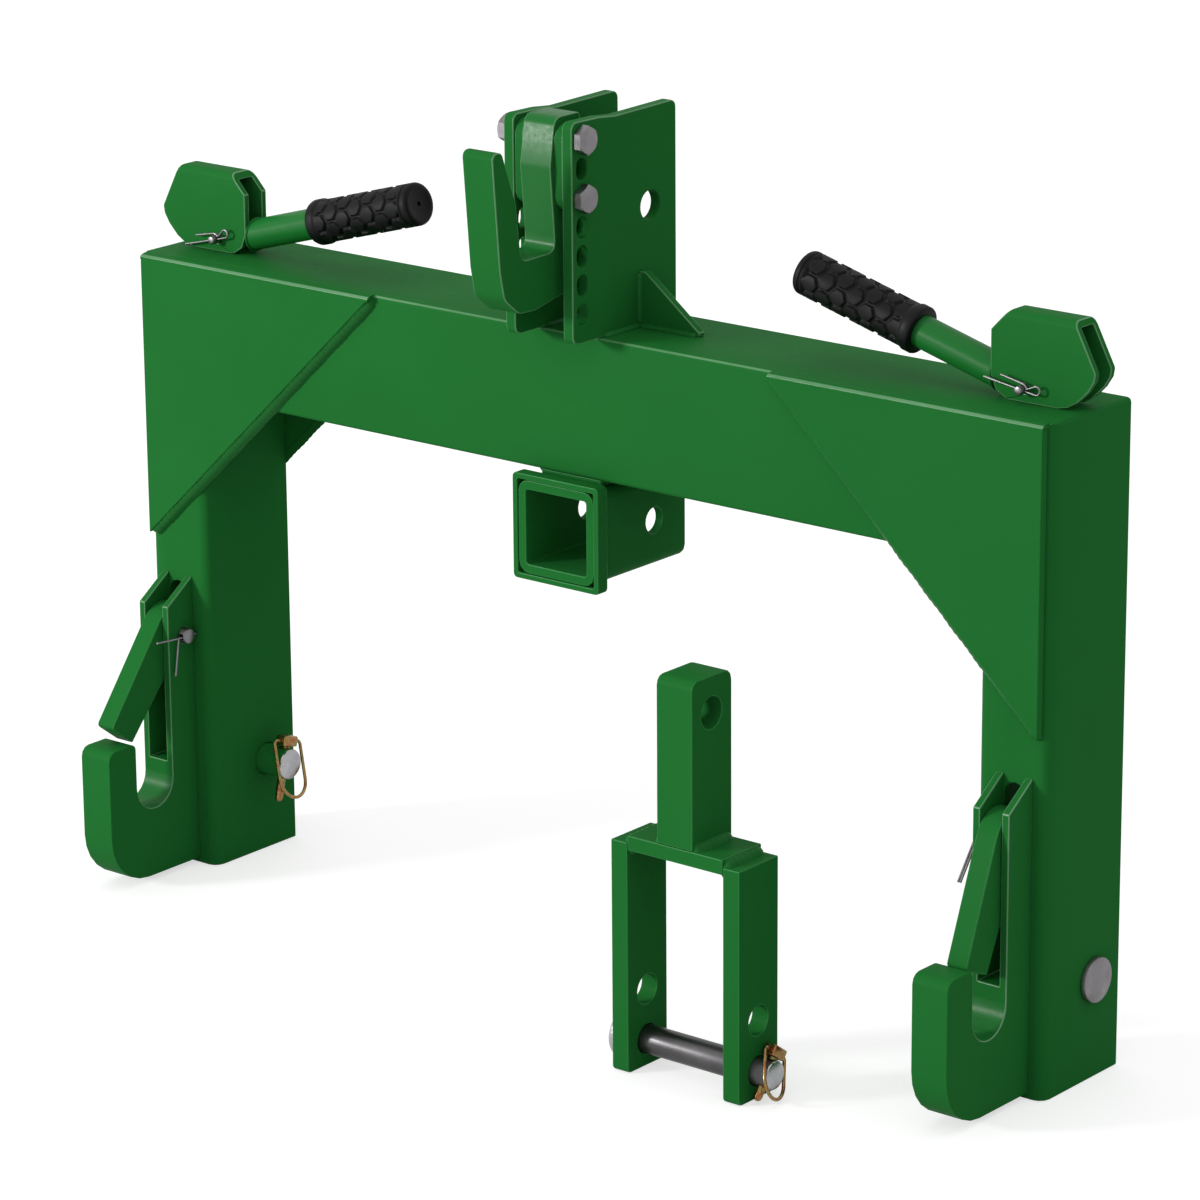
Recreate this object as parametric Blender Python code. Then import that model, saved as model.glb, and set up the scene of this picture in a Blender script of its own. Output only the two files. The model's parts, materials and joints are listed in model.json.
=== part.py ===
"""Three point quick hitch: frame, hooks with latches, cam levers, pins and a top link adapter.

Metres, +Z up. The hitch stands on its legs with its hooks facing -Y and its beam along X.
Places across the frame are counted as an inset from the outer face of the nearer leg.
"""
import math

import bmesh
import bpy
from mathutils import Matrix, Vector

# Frame
FRAME_WIDTH = 0.762
FRAME_DEPTH = 0.083
FRAME_HEIGHT = 0.440
BEAM_HEIGHT = 0.096
LEG_WIDTH = 0.0544
WALL = 0.00635
CORNER_RADIUS = 0.008
FOLD_RADIUS = 0.003
GAP = 0.0003
GUSSET_REACH = 0.214
GUSSET_ABOVE_HOOK = 0.0275
GUSSET_INSET = 0.005
GUSSET_THICKNESS = 0.006

# Mast
MAST_GAP = 0.040
MAST_PLATE = 0.008
MAST_OVERHANG = 0.0275
MAST_HEIGHT = 0.145
MAST_TOP_DIP = 0.0022
MAST_REAR_INSET = 0.004
MAST_CORNER = 0.005
MAST_DIP_SHARES = ((0.26, 0.2), (0.42, 1.0), (0.60, 0.9))
SLOT_ROW_SETBACK = 0.010
SLOT_COUNT = 7
SLOT_PITCH = 0.019
SLOT_FIRST_HEIGHT = 0.019
SLOT_WIDTH = 0.0106
SLOT_LENGTH = 0.0144
LINK_HOLE_Y = 0.0522
LINK_HOLE_HEIGHT = 0.0784
LINK_HOLE_DIAMETER = 0.0198
MAST_GUSSET_LENGTH = 0.049
MAST_GUSSET_HEIGHT = 0.0365
MAST_GUSSET_TOE = 0.005
MAST_GUSSET_THICKNESS = 0.006
MAST_GUSSET_Y = 0.043

# Top hook and its fixings
TOP_HOOK_THICKNESS = 0.025
TOP_HOOK_DEPTH = 0.087
TOP_HOOK_HEIGHT = 0.1215
TOP_HOOK_LIFT = 0.025
TOP_HOOK_SHARES = (
    (0.000, 1.000, 0.03), (0.290, 1.000, 0.08), (0.348, 0.735, 0.14), (0.304, 0.365, 0.10),
    (0.304, 0.288, 0.06), (0.684, 0.282, 0.07), (0.738, 0.600, 0.18), (0.890, 0.888, 0.05),
    (1.000, 0.888, 0.05), (0.926, 0.260, 0.34), (0.880, 0.100, 0.14), (0.713, 0.004, 0.10),
    (0.530, 0.000, 0.06), (0.230, 0.044, 0.05), (0.000, 0.050, 0.03),
)
TOP_HOOK_BOLT_SLOTS = (6, 4)
BOLT_DIAMETER = 0.010
BOLT_HEAD_FLATS = 0.017
BOLT_HEAD_HEIGHT = 0.006
NUT_FLATS = 0.017
NUT_HEIGHT = 0.0065
BOLT_END = 0.0015
SPACER_DIAMETER = 0.018

# Receiver
RECEIVER_OUTER = 0.0635
RECEIVER_BORE = 0.0508
RECEIVER_CORNER = 0.008
RECEIVER_BORE_CORNER = 0.002
RECEIVER_DROP = 0.0365
COLLAR_SIZE = 0.072
COLLAR_DEPTH = 0.010
COLLAR_AHEAD = 0.014
COLLAR_CORNER = 0.003
COLLAR_RECESS = 0.0008
HITCH_HOLE_DIAMETER = 0.0175
HITCH_HOLE_Y = 0.0502
PAD_WIDTH = 0.050
PAD_INSET = 0.003

# Lower hooks
HOOK_INSET = 0.0251
HOOK_THICKNESS = 0.0272
HOOK_REACH = 0.088
HOOK_FOOT = 0.004
HOOK_TOP = 0.2125
CHEEK_TOP = 0.1955
CHEEK_DEPTH = 0.0254
THROAT_WIDTH = 0.0358
THROAT_FLOOR = 0.0535
HORN_TOP = 0.1045
HORN_ROUND = 0.007
HOOK_TOE_RADIUS = 0.036
LATCH_SLOT = 0.0166
SLOT_FLOOR = 0.082
LEG_SLOT_TOP = 0.207

# Latches
LATCH_THICKNESS = 0.0152
PIVOT_SETBACK = 0.010
PIVOT_HEIGHT = 0.172
LATCH_HEAD_RADIUS = 0.0215
LATCH_TIP_REACH = 0.0835
LATCH_TIP_BACK = 0.003
LATCH_ROOT_BACK = 0.0085
LATCH_TIP_RADIUS = 0.003
LATCH_SWING_DEG = 48.0
TRAVEL_SHARE = 0.98
LATCH_TIP_DEG = {-1: 37.4, 1: 21.5}
TAIL_HALF_WIDTH = 0.010
TAIL_PLAY = 0.0007
PIVOT_PIN_DIAMETER = 0.011
PIVOT_PIN_HEAD = 0.015
PIVOT_PIN_HEAD_HEIGHT = 0.003
PIVOT_PIN_TAIL = 0.006
PIVOT_PIN_COVER = 0.0022
COTTER_WIRE = 0.0015
COTTER_SETBACK = 0.0028
COTTER_EYE = 0.003
COTTER_FRONT_LEG = {-1: (0.0235, 0.0019), 1: (0.018, -0.024)}
COTTER_DOWN_LEG = {-1: (0.0044, -0.027), 1: (0.018, -0.024)}

# Lift rods
ROD_DIAMETER = 0.010
ROD_Y = 0.042
ROD_TOP_INSET = 0.0441
ROD_EYE_RADIUS = 0.008
ROD_EYE_THICKNESS = 0.012
ROD_STRAIGHT = 0.066
ROD_JOG = 0.032
ROD_BEND_RADIUS = 0.012
ROD_HOLE_DIAMETER = 0.0124
GUIDE_THICKNESS = 0.006
GUIDE_DROP = 0.004
GUIDE_REAR_INSET = 0.012
FORK_CHEEK = 0.005
FORK_SIDE_GAP = 0.0009
FORK_DEPTH = 0.016
FORK_BELOW = 0.008
FORK_BRIDGE = 0.0075
FORK_PIN_DIAMETER = 0.008
SPRING_SHARE = 0.58
SPRING_WIRE = 0.0024
SPRING_MEAN_DIAMETER = 0.0156
SPRING_TURNS = 8
SPRING_CLOSED_PITCH = 0.0026
SPRING_SEAT_DIAMETER = 0.022
SPRING_SEAT_HEIGHT = 0.005

# Cam levers
HOOD_Y = 0.042
HOOD_WIDTH = 0.022
HOOD_SHEET = 0.0045
HOOD_FOLD_RADIUS = 0.005
HOOD_LENGTH = 0.0773
HOOD_HEIGHT = 0.0562
HOOD_PIN_SHARE = 0.667
HOOD_PIN_HEIGHT_SHARE = 0.157
HOOD_SHARES = (
    (0.847, 0.000, 0.05), (0.356, 0.000, 0.00), (0.265, 0.023, 0.00), (0.162, 0.107, 0.00),
    (0.069, 0.237, 0.00), (0.013, 0.359, 0.04), (0.000, 0.457, 0.04), (0.207, 1.000, 0.00),
    (0.834, 1.000, 0.00), (1.000, 0.760, 0.00), (1.000, 0.262, 0.00), (0.951, 0.093, 0.00),
)
HANDLE_TILT_DEG = 15.6
HANDLE_DIAMETER = 0.0213
HANDLE_WALL = 0.0026
HANDLE_LENGTH = 0.151
HANDLE_HEIGHT_SHARE = 0.240
GRIP_START = 0.0615
GRIP_LENGTH = 0.094
GRIP_DIAMETER = 0.0295
GRIP_FLANGE_DIAMETER = 0.0315
GRIP_FLANGE_LENGTH = 0.008
GRIP_END = 0.004
GRIP_END_ROUND = 0.003
GRIP_VENT_DIAMETER = 0.003

# Clevis pins with their R clips
CLEVIS_PIN_DIAMETER = 0.006
CLEVIS_PIN_HEAD = 0.011
CLEVIS_PIN_HEAD_HEIGHT = 0.003
CLEVIS_PIN_AHEAD = 0.008
CLIP_WIRE = 0.0015
CLIP_SETBACK = 0.004
CLIP_LONG_LEG = 0.028
CLIP_SHORT_LEG = 0.011
CLIP_LOOP = 0.0055
CLIP_TAIL = 0.016
CLIP_TILT_DEG = {-1: 14.0, 1: -9.0}

# Lower link pins with their lynch pins
LINK_PIN_DIAMETER = 0.022
LINK_PIN_Y = 0.0545
LINK_PIN_HEIGHT = 0.067
LINK_PIN_HEAD = 0.030
LINK_PIN_HEAD_HEIGHT = 0.004
LINK_PIN_OUT = 0.0235
LYNCH_END = 0.0070
PIN_CHAMFER = 0.0012
LYNCH_DIAMETER = 0.0058
LYNCH_BELOW = 0.028
LYNCH_BLOCK_LENGTH = 0.014
LYNCH_BLOCK_WIDTH = 0.009
LYNCH_BLOCK_HEIGHT = 0.0075
LYNCH_TILT_DEG = 14.0
RING_WIRE = 0.0024
RING_SIDE_GAP = 0.0014
RING_DROP = 0.021
RING_LEAN_DEG = 22.0

# Top link adapter
ADAPTER_X = 0.184
ADAPTER_AHEAD = 0.122
ADAPTER_WIDTH = 0.102
ADAPTER_DEPTH = 0.040
ADAPTER_PLATE = 0.013
ADAPTER_LEG_HEIGHT = 0.156
ADAPTER_CROSS_THICKNESS = 0.010
ADAPTER_CROSS_RISE = 0.005
ADAPTER_BAR_WIDTH = 0.028
ADAPTER_BAR_DEPTH = 0.040
ADAPTER_BAR_HEIGHT = 0.110
ADAPTER_BAR_ROUND = 0.006
ADAPTER_BAR_HOLE = 0.021
ADAPTER_BAR_HOLE_DROP = 0.024
ADAPTER_HOLE_DIAMETER = 0.020
ADAPTER_HOLE_LOW = 0.018
ADAPTER_HOLE_PITCH = 0.034
ADAPTER_CORNER = 0.003
ADAPTER_PIN_DIAMETER = 0.019
ADAPTER_PIN_HEAD = 0.032
ADAPTER_PIN_HEAD_HEIGHT = 0.0065
ADAPTER_PIN_OUT = 0.0135
ADAPTER_LYNCH_BELOW = 0.0185
ADAPTER_RING_DROP = 0.0140
ADAPTER_LYNCH_TILT_DEG = 35.0

# Facets
ROUND_SIDES = 24
SMALL_SIDES = 16
WIRE_SIDES = 6
SPRING_STEPS = 9
SHARP_DEG = 40.0
ARC_STEP_DEG = 15.0
TIGHT_ARC_STEP_DEG = 30.0
TIGHT_RADIUS = 0.009
MERGE = 0.000005

# Places that follow from the sizes
HALF = FRAME_WIDTH / 2
REAR = FRAME_DEPTH + GAP + GUSSET_THICKNESS
FRONT = (ADAPTER_AHEAD - REAR) / 2
BEAM_BOTTOM = FRAME_HEIGHT - BEAM_HEIGHT
TOP = FRAME_HEIGHT
GUSSET_DROP = TOP - HOOK_TOP - GUSSET_ABOVE_HOOK
MAST_OUTER = MAST_GAP / 2 + MAST_PLATE
SLOT_Y = SLOT_ROW_SETBACK - MAST_OVERHANG
TAIL_REACH = PIVOT_SETBACK + ROD_Y
HALF_SWING = math.radians(LATCH_SWING_DEG / 2)
ROD_TRAVEL = 2 * TAIL_REACH * math.tan(HALF_SWING) * TRAVEL_SHARE
FORK_PIN_HEIGHT = PIVOT_HEIGHT - ROD_TRAVEL / 2
HOOD_BOTTOM = TOP + GAP
HOOD_OUTER = ROD_TOP_INSET - HOOD_LENGTH * HOOD_PIN_SHARE
CLEVIS_PIN_Z = HOOD_BOTTOM + HOOD_HEIGHT * HOOD_PIN_HEIGHT_SHARE
RECEIVER_Z = BEAM_BOTTOM - RECEIVER_DROP
HANDLE_TILT = math.radians(HANDLE_TILT_DEG)

PAINT = (0.022, 0.165, 0.040)
STEEL = (0.46, 0.45, 0.46)
ZINC = (0.62, 0.47, 0.20)
RUBBER = (0.012, 0.012, 0.013)
DARK = (0.10, 0.10, 0.11)


def across(side, inset):
    return side * (HALF - inset)


def new_object(shape):
    bmesh.ops.recalc_face_normals(shape, faces=shape.faces)
    mesh = bpy.data.meshes.new("shape")
    shape.to_mesh(mesh)
    shape.free()
    thing = bpy.data.objects.new("shape", mesh)
    bpy.context.scene.collection.objects.link(thing)
    return thing


AXES = {"X": (1, 2, 0), "Y": (0, 2, 1), "Z": (0, 1, 2)}


def prism(points, axis, low, high):
    """Extrude a closed outline along one axis."""
    first, second, along = AXES[axis]
    shape = bmesh.new()
    rings = []
    for level in (min(low, high), max(low, high)):
        ring = []
        for p, q in points:
            spot = [0, 0, 0]
            spot[first] = p
            spot[second] = q
            spot[along] = level
            ring.append(shape.verts.new(spot))
        rings.append(ring)
    shape.faces.new(rings[0])
    shape.faces.new(rings[1])
    count = len(points)
    for i in range(count):
        j = (i + 1) % count
        shape.faces.new((rings[0][i], rings[0][j], rings[1][j], rings[1][i]))
    return new_object(shape)


def box(x0, x1, y0, y1, z0, z1):
    return prism([(x0, y0), (x1, y0), (x1, y1), (x0, y1)], "Z", z0, z1)


def arc_steps(radius, sweep):
    step = ARC_STEP_DEG if radius > TIGHT_RADIUS else TIGHT_ARC_STEP_DEG
    return max(2, math.ceil(abs(math.degrees(sweep)) / step))


def arc(centre, radius, start, sweep):
    steps = arc_steps(radius, sweep)
    return [(centre[0] + radius * math.cos(start + sweep * k / steps),
             centre[1] + radius * math.sin(start + sweep * k / steps)) for k in range(steps + 1)]


def corner(before, here, after, radius):
    """The points that replace one corner by an arc."""
    here = Vector(here)
    back = Vector(before) - here
    ahead = Vector(after) - here
    if radius == 0:
        return [tuple(here)]
    back.normalize()
    ahead.normalize()
    half = back.angle(ahead) / 2
    centre = here + (back + ahead).normalized() * (radius / math.sin(half))
    start = here + back * (radius / math.tan(half)) - centre
    end = here + ahead * (radius / math.tan(half)) - centre
    first = math.atan2(start.y, start.x)
    turn = math.atan2(end.y, end.x) - first
    turn = (turn + math.pi) % (2 * math.pi) - math.pi
    return arc(centre, radius, first, turn)


def rounded(corners):
    """Close an outline of (p, q, radius) corners, each rounded by its radius."""
    points = []
    count = len(corners)
    for i in range(count):
        before = corners[i - 1][:2]
        after = corners[(i + 1) % count][:2]
        points += corner(before, corners[i][:2], after, corners[i][2])
    return points


def rectangle(p0, p1, q0, q1, radius):
    return rounded([(p0, q0, radius), (p1, q0, radius), (p1, q1, radius), (p0, q1, radius)])


def bend(points, radius):
    """Round the inner corners of an open path in space."""
    path = [Vector(points[0])]
    for i in range(1, len(points) - 1):
        here = Vector(points[i])
        back = (Vector(points[i - 1]) - here).normalized()
        ahead = (Vector(points[i + 1]) - here).normalized()
        half = back.angle(ahead) / 2
        reach = radius / math.tan(half)
        centre = here + (back + ahead).normalized() * (radius / math.sin(half))
        start = here + back * reach - centre
        end = here + ahead * reach - centre
        turn = start.angle(end)
        steps = arc_steps(radius, turn)
        spin = start.cross(end).normalized()
        for k in range(steps + 1):
            path.append(centre + Matrix.Rotation(turn * k / steps, 3, spin) @ start)
    path.append(Vector(points[-1]))
    return path


def sweep(path, radius, sides, closed=False):
    """Carry a circle along a path."""
    path = [Vector(p) for p in path]
    count = len(path)
    tangents = []
    for i in range(count):
        if closed:
            step = path[(i + 1) % count] - path[i - 1]
        else:
            step = path[min(i + 1, count - 1)] - path[max(i - 1, 0)]
        tangents.append(step.normalized())
    normal = tangents[0].orthogonal().normalized()
    frames = []
    for i in range(count):
        if i:
            normal = tangents[i - 1].rotation_difference(tangents[i]) @ normal
        normal = (normal - tangents[i] * normal.dot(tangents[i])).normalized()
        frames.append(normal.copy())
    twist = 0.0
    if closed:
        last = tangents[-1].rotation_difference(tangents[0]) @ frames[-1]
        twist = math.atan2(tangents[0].dot(last.cross(frames[0])), last.dot(frames[0]))
    shape = bmesh.new()
    rings = []
    for i in range(count):
        side = tangents[i].cross(frames[i])
        ring = []
        for k in range(sides):
            angle = 2 * math.pi * k / sides + twist * i / count
            offset = frames[i] * math.cos(angle) + side * math.sin(angle)
            ring.append(shape.verts.new(path[i] + offset * radius))
        rings.append(ring)
    spans = count if closed else count - 1
    for i in range(spans):
        here = rings[i]
        there = rings[(i + 1) % count]
        for k in range(sides):
            n = (k + 1) % sides
            shape.faces.new((here[k], here[n], there[n], there[k]))
    if not closed:
        shape.faces.new(rings[0])
        shape.faces.new(rings[-1])
    return new_object(shape)


def turned(start, axis, profile, sides, hollow=False):
    """Turn a profile of (along, radius) pairs about an axis; a hollow one is a closed loop."""
    axis = Vector(axis).normalized()
    normal = axis.orthogonal().normalized()
    side = axis.cross(normal)
    shape = bmesh.new()
    rings = []
    for along, radius in profile:
        ring = []
        for k in range(sides):
            angle = 2 * math.pi * k / sides
            offset = normal * math.cos(angle) + side * math.sin(angle)
            ring.append(shape.verts.new(Vector(start) + axis * along + offset * radius))
        rings.append(ring)
    count = len(rings)
    spans = count if hollow else count - 1
    for i in range(spans):
        here = rings[i]
        there = rings[(i + 1) % count]
        for k in range(sides):
            n = (k + 1) % sides
            shape.faces.new((here[k], here[n], there[n], there[k]))
    if not hollow:
        shape.faces.new(rings[0])
        shape.faces.new(rings[-1])
    return new_object(shape)


def bar(start, end, radius, sides=SMALL_SIDES):
    start = Vector(start)
    length = (Vector(end) - start).length
    return turned(start, Vector(end) - start, [(0, radius), (length, radius)], sides)


def hexagon(centre, axis, flats, low, high):
    """A hexagonal prism along X with corners at its top and bottom."""
    radius = flats / math.sqrt(3)
    points = [(centre[0] + radius * math.sin(math.radians(60 * k)),
               centre[1] + radius * math.cos(math.radians(60 * k))) for k in range(6)]
    return prism(points, axis, low, high)


def combine(body, tools, kind):
    for tool in tools:
        step = body.modifiers.new("step", "BOOLEAN")
        step.operation = kind
        step.solver = "EXACT"
        step.object = tool
        tool.hide_render = True
        tool.display_type = "WIRE"
        graph = bpy.context.evaluated_depsgraph_get()
        graph.update()
        result = bpy.data.meshes.new_from_object(body.evaluated_get(graph))
        body.modifiers.clear()
        body.data = result
        bpy.data.objects.remove(tool, do_unlink=True)
    shape = bmesh.new()
    shape.from_mesh(body.data)
    bmesh.ops.remove_doubles(shape, verts=shape.verts, dist=MERGE)
    bmesh.ops.dissolve_degenerate(shape, dist=MERGE, edges=shape.edges)
    bmesh.ops.recalc_face_normals(shape, faces=shape.faces)
    shape.to_mesh(body.data)
    shape.free()
    return body


def bundle(tools):
    """Put tools that don't touch each other into one, for a single cut."""
    shape = bmesh.new()
    for tool in tools:
        shape.from_mesh(tool.data)
        bpy.data.objects.remove(tool, do_unlink=True)
    return new_object(shape)


def cut(body, *tools):
    return combine(body, tools, "DIFFERENCE")


def join(body, *tools):
    return combine(body, tools, "UNION")


def common(body, *tools):
    return combine(body, tools, "INTERSECT")


def piece(thing, name, colour, metallic=0.0, roughness=0.45, origin=None):
    """Name a finished solid, give it its own material and put its origin on its axis."""
    thing.name = name
    thing.data.name = name
    material = bpy.data.materials.new(name)
    material.use_nodes = True
    surface = material.node_tree.nodes["Principled BSDF"]
    surface.inputs["Base Color"].default_value = (*colour, 1.0)
    surface.inputs["Metallic"].default_value = metallic
    surface.inputs["Roughness"].default_value = roughness
    thing.data.shade_smooth()
    thing.data.set_sharp_from_angle(angle=math.radians(SHARP_DEG))
    thing.data.materials.clear()
    thing.data.materials.append(material)
    if origin is not None:
        thing.data.transform(Matrix.Translation(-Vector(origin)))
        thing.location = origin
    return thing


def turn_about(thing, centre, axis, angle):
    centre = Vector(centre)
    turn = Matrix.Translation(centre) @ Matrix.Rotation(angle, 4, axis) @ Matrix.Translation(-centre)
    thing.data.transform(turn)
    return thing


def side_name(side):
    return "left" if side < 0 else "right"


def crossbeam():
    low = across(-1, LEG_WIDTH + GAP)
    high = across(1, LEG_WIDTH + GAP)
    back = FRONT + FRAME_DEPTH
    inner = FRONT + WALL
    outline = rounded([
        (FRONT, BEAM_BOTTOM, FOLD_RADIUS), (FRONT, TOP, FOLD_RADIUS), (back, TOP, 0),
        (back, TOP - WALL, 0), (inner, TOP - WALL, FOLD_RADIUS),
        (inner, BEAM_BOTTOM + WALL, FOLD_RADIUS), (back, BEAM_BOTTOM + WALL, 0), (back, BEAM_BOTTOM, 0)])
    piece(prism(outline, "X", low, high), "crossbeam", PAINT)


def leg(side):
    outer = across(side, 0)
    inner = across(side, LEG_WIDTH)
    back = FRONT + FRAME_DEPTH
    over = WALL
    lower = prism(rounded([(outer, FRONT, CORNER_RADIUS), (inner, FRONT, CORNER_RADIUS),
                           (inner, back, 0), (outer, back, 0)]), "Z", 0, BEAM_BOTTOM)
    upper = prism(rounded([(outer, FRONT, CORNER_RADIUS), (inner, FRONT, 0),
                           (inner, back, 0), (outer, back, 0)]), "Z", BEAM_BOTTOM, TOP)
    post = join(lower, upper)
    common(post, prism(rounded([(FRONT - over, -over, 0), (back + over, -over, 0), (back + over, TOP, 0),
                                (FRONT, TOP, FOLD_RADIUS), (FRONT, 0, 0), (FRONT - over, 0, 0)]),
                       "X", outer - side * -over, inner + side * -over))
    common(post, prism(rounded([(outer, -over, 0), (outer, TOP, FOLD_RADIUS),
                                (inner - side * over, TOP, 0), (inner - side * over, -over, 0)]),
                       "Y", FRONT - over, back + over))
    cut(post,
        box(across(side, WALL), across(side, LEG_WIDTH - WALL), FRONT + WALL, back + over,
            -over, TOP - WALL),
        box(across(side, LEG_WIDTH - WALL - over / 2), across(side, LEG_WIDTH + over), FRONT + WALL,
            back + over, BEAM_BOTTOM + WALL, TOP - WALL))
    middle = across(side, HOOK_INSET)
    half = LATCH_SLOT / 2
    slot = [(middle - half, SLOT_FLOOR), (middle + half, SLOT_FLOOR)]
    slot += arc((middle, LEG_SLOT_TOP - half), half, 0, math.pi)
    pin_y = FRONT + LINK_PIN_Y
    cut(post,
        prism(slot, "Y", FRONT - over, FRONT + WALL + over),
        bar((across(side, ROD_TOP_INSET), FRONT + ROD_Y, TOP - WALL - over),
            (across(side, ROD_TOP_INSET), FRONT + ROD_Y, TOP + over), ROD_HOLE_DIAMETER / 2, ROUND_SIDES),
        bar((across(side, -over), pin_y, LINK_PIN_HEIGHT),
            (across(side, LEG_WIDTH + over), pin_y, LINK_PIN_HEIGHT),
            LINK_PIN_DIAMETER / 2 + GAP, ROUND_SIDES))
    piece(post, side_name(side) + "_leg", PAINT)
    guide = box(across(side, WALL + GAP), across(side, LEG_WIDTH - WALL - GAP), FRONT + WALL + GAP,
                back - GUIDE_REAR_INSET, BEAM_BOTTOM - GUIDE_DROP - GUIDE_THICKNESS,
                BEAM_BOTTOM - GUIDE_DROP)
    low = BEAM_BOTTOM - GUIDE_DROP - GUIDE_THICKNESS
    cut(guide, bar((middle, FRONT + ROD_Y, low - over), (middle, FRONT + ROD_Y, BEAM_BOTTOM + over),
                   ROD_HOLE_DIAMETER / 2))
    piece(guide, side_name(side) + "_rod_guide", PAINT)


def gussets(side):
    high = TOP - GUSSET_INSET / 2
    outline = [(across(side, GUSSET_INSET), high), (across(side, GUSSET_REACH), high),
               (across(side, GUSSET_INSET), TOP - GUSSET_DROP)]
    piece(prism(outline, "Y", FRONT - GAP - GUSSET_THICKNESS, FRONT - GAP),
          side_name(side) + "_front_gusset", PAINT)
    back = FRONT + FRAME_DEPTH + GAP
    piece(prism(outline, "Y", back, back + GUSSET_THICKNESS), side_name(side) + "_rear_gusset", PAINT)


def mast(side):
    low = TOP + GAP
    high = TOP + MAST_HEIGHT
    front = FRONT - MAST_OVERHANG
    back = FRONT + FRAME_DEPTH - MAST_REAR_INSET
    span = back - front
    dips = [(front + span * run, high - MAST_TOP_DIP * fall, 0) for run, fall in MAST_DIP_SHARES]
    outline = rounded([(front, low, MAST_CORNER), (front, high, MAST_CORNER)] + dips
                      + [(back, high - MAST_TOP_DIP / 2, MAST_CORNER), (back, low, 0)])
    inside = side * MAST_GAP / 2
    outside = side * MAST_OUTER
    plate = prism(outline, "X", inside, outside)
    half = SLOT_WIDTH / 2
    rise = SLOT_LENGTH / 2 - half
    holes = []
    for k in range(SLOT_COUNT):
        level = TOP + SLOT_FIRST_HEIGHT + SLOT_PITCH * k
        window = (arc((FRONT + SLOT_Y, level + rise), half, 0, math.pi)
                  + arc((FRONT + SLOT_Y, level - rise), half, math.pi, math.pi))
        holes.append(prism(window, "X", inside - side * half, outside + side * half))
    spot = (FRONT + LINK_HOLE_Y, TOP + LINK_HOLE_HEIGHT)
    holes.append(bar((inside - side * half, *spot), (outside + side * half, *spot),
                     LINK_HOLE_DIAMETER / 2, ROUND_SIDES))
    cut(plate, bundle(holes))
    piece(plate, side_name(side) + "_mast_plate", PAINT)
    root = outside + side * GAP
    tip = root + side * MAST_GUSSET_LENGTH
    rib = prism([(root, low), (tip, low), (tip, low + MAST_GUSSET_TOE / 2),
                 (root + side * MAST_GUSSET_TOE, low + MAST_GUSSET_HEIGHT),
                 (root, low + MAST_GUSSET_HEIGHT)], "Y",
                FRONT + MAST_GUSSET_Y - MAST_GUSSET_THICKNESS / 2,
                FRONT + MAST_GUSSET_Y + MAST_GUSSET_THICKNESS / 2)
    piece(rib, side_name(side) + "_mast_rib", PAINT)


def top_hook():
    half = TOP_HOOK_THICKNESS / 2
    low = TOP + TOP_HOOK_LIFT
    corners = [(FRONT - TOP_HOOK_DEPTH * p, low + TOP_HOOK_HEIGHT * q, TOP_HOOK_DEPTH * r)
               for p, q, r in TOP_HOOK_SHARES]
    hook = prism(rounded(corners), "X", -half, half)
    levels = [TOP + SLOT_FIRST_HEIGHT + SLOT_PITCH * k for k in TOP_HOOK_BOLT_SLOTS]
    row = FRONT + SLOT_Y
    shank = BOLT_DIAMETER / 2
    for level in levels:
        cut(hook, bar((-TOP_HOOK_THICKNESS, row, level), (TOP_HOOK_THICKNESS, row, level), shank + GAP))
    piece(hook, "top_hook", PAINT)
    face = MAST_OUTER + GAP
    end = -face - NUT_HEIGHT - BOLT_END
    for number, level in enumerate(levels):
        bolt = join(hexagon((row, level), "X", BOLT_HEAD_FLATS, face, face + BOLT_HEAD_HEIGHT),
                    bar((end, row, level), (face + BOLT_HEAD_HEIGHT / 2, row, level), shank))
        word = ("upper", "lower")[number]
        piece(bolt, word + "_hook_bolt", STEEL, 0.9, 0.35)
        nut = hexagon((row, level), "X", NUT_FLATS, -face - NUT_HEIGHT, -face)
        cut(nut, bar((-face - NUT_HEIGHT - shank, row, level), (-face + shank, row, level), shank + GAP))
        piece(nut, word + "_hook_nut", STEEL, 0.9, 0.35)
    for side in (-1, 1):
        outline = (arc((row, levels[0]), SPACER_DIAMETER / 2, 0, math.pi)
                   + arc((row, levels[1]), SPACER_DIAMETER / 2, math.pi, math.pi))
        spacer = prism(outline, "X", side * (half + GAP), side * (MAST_GAP / 2 - GAP))
        for level in levels:
            cut(spacer, bar((-MAST_GAP, row, level), (MAST_GAP, row, level), shank + GAP))
        piece(spacer, side_name(side) + "_hook_spacer", PAINT)


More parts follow.
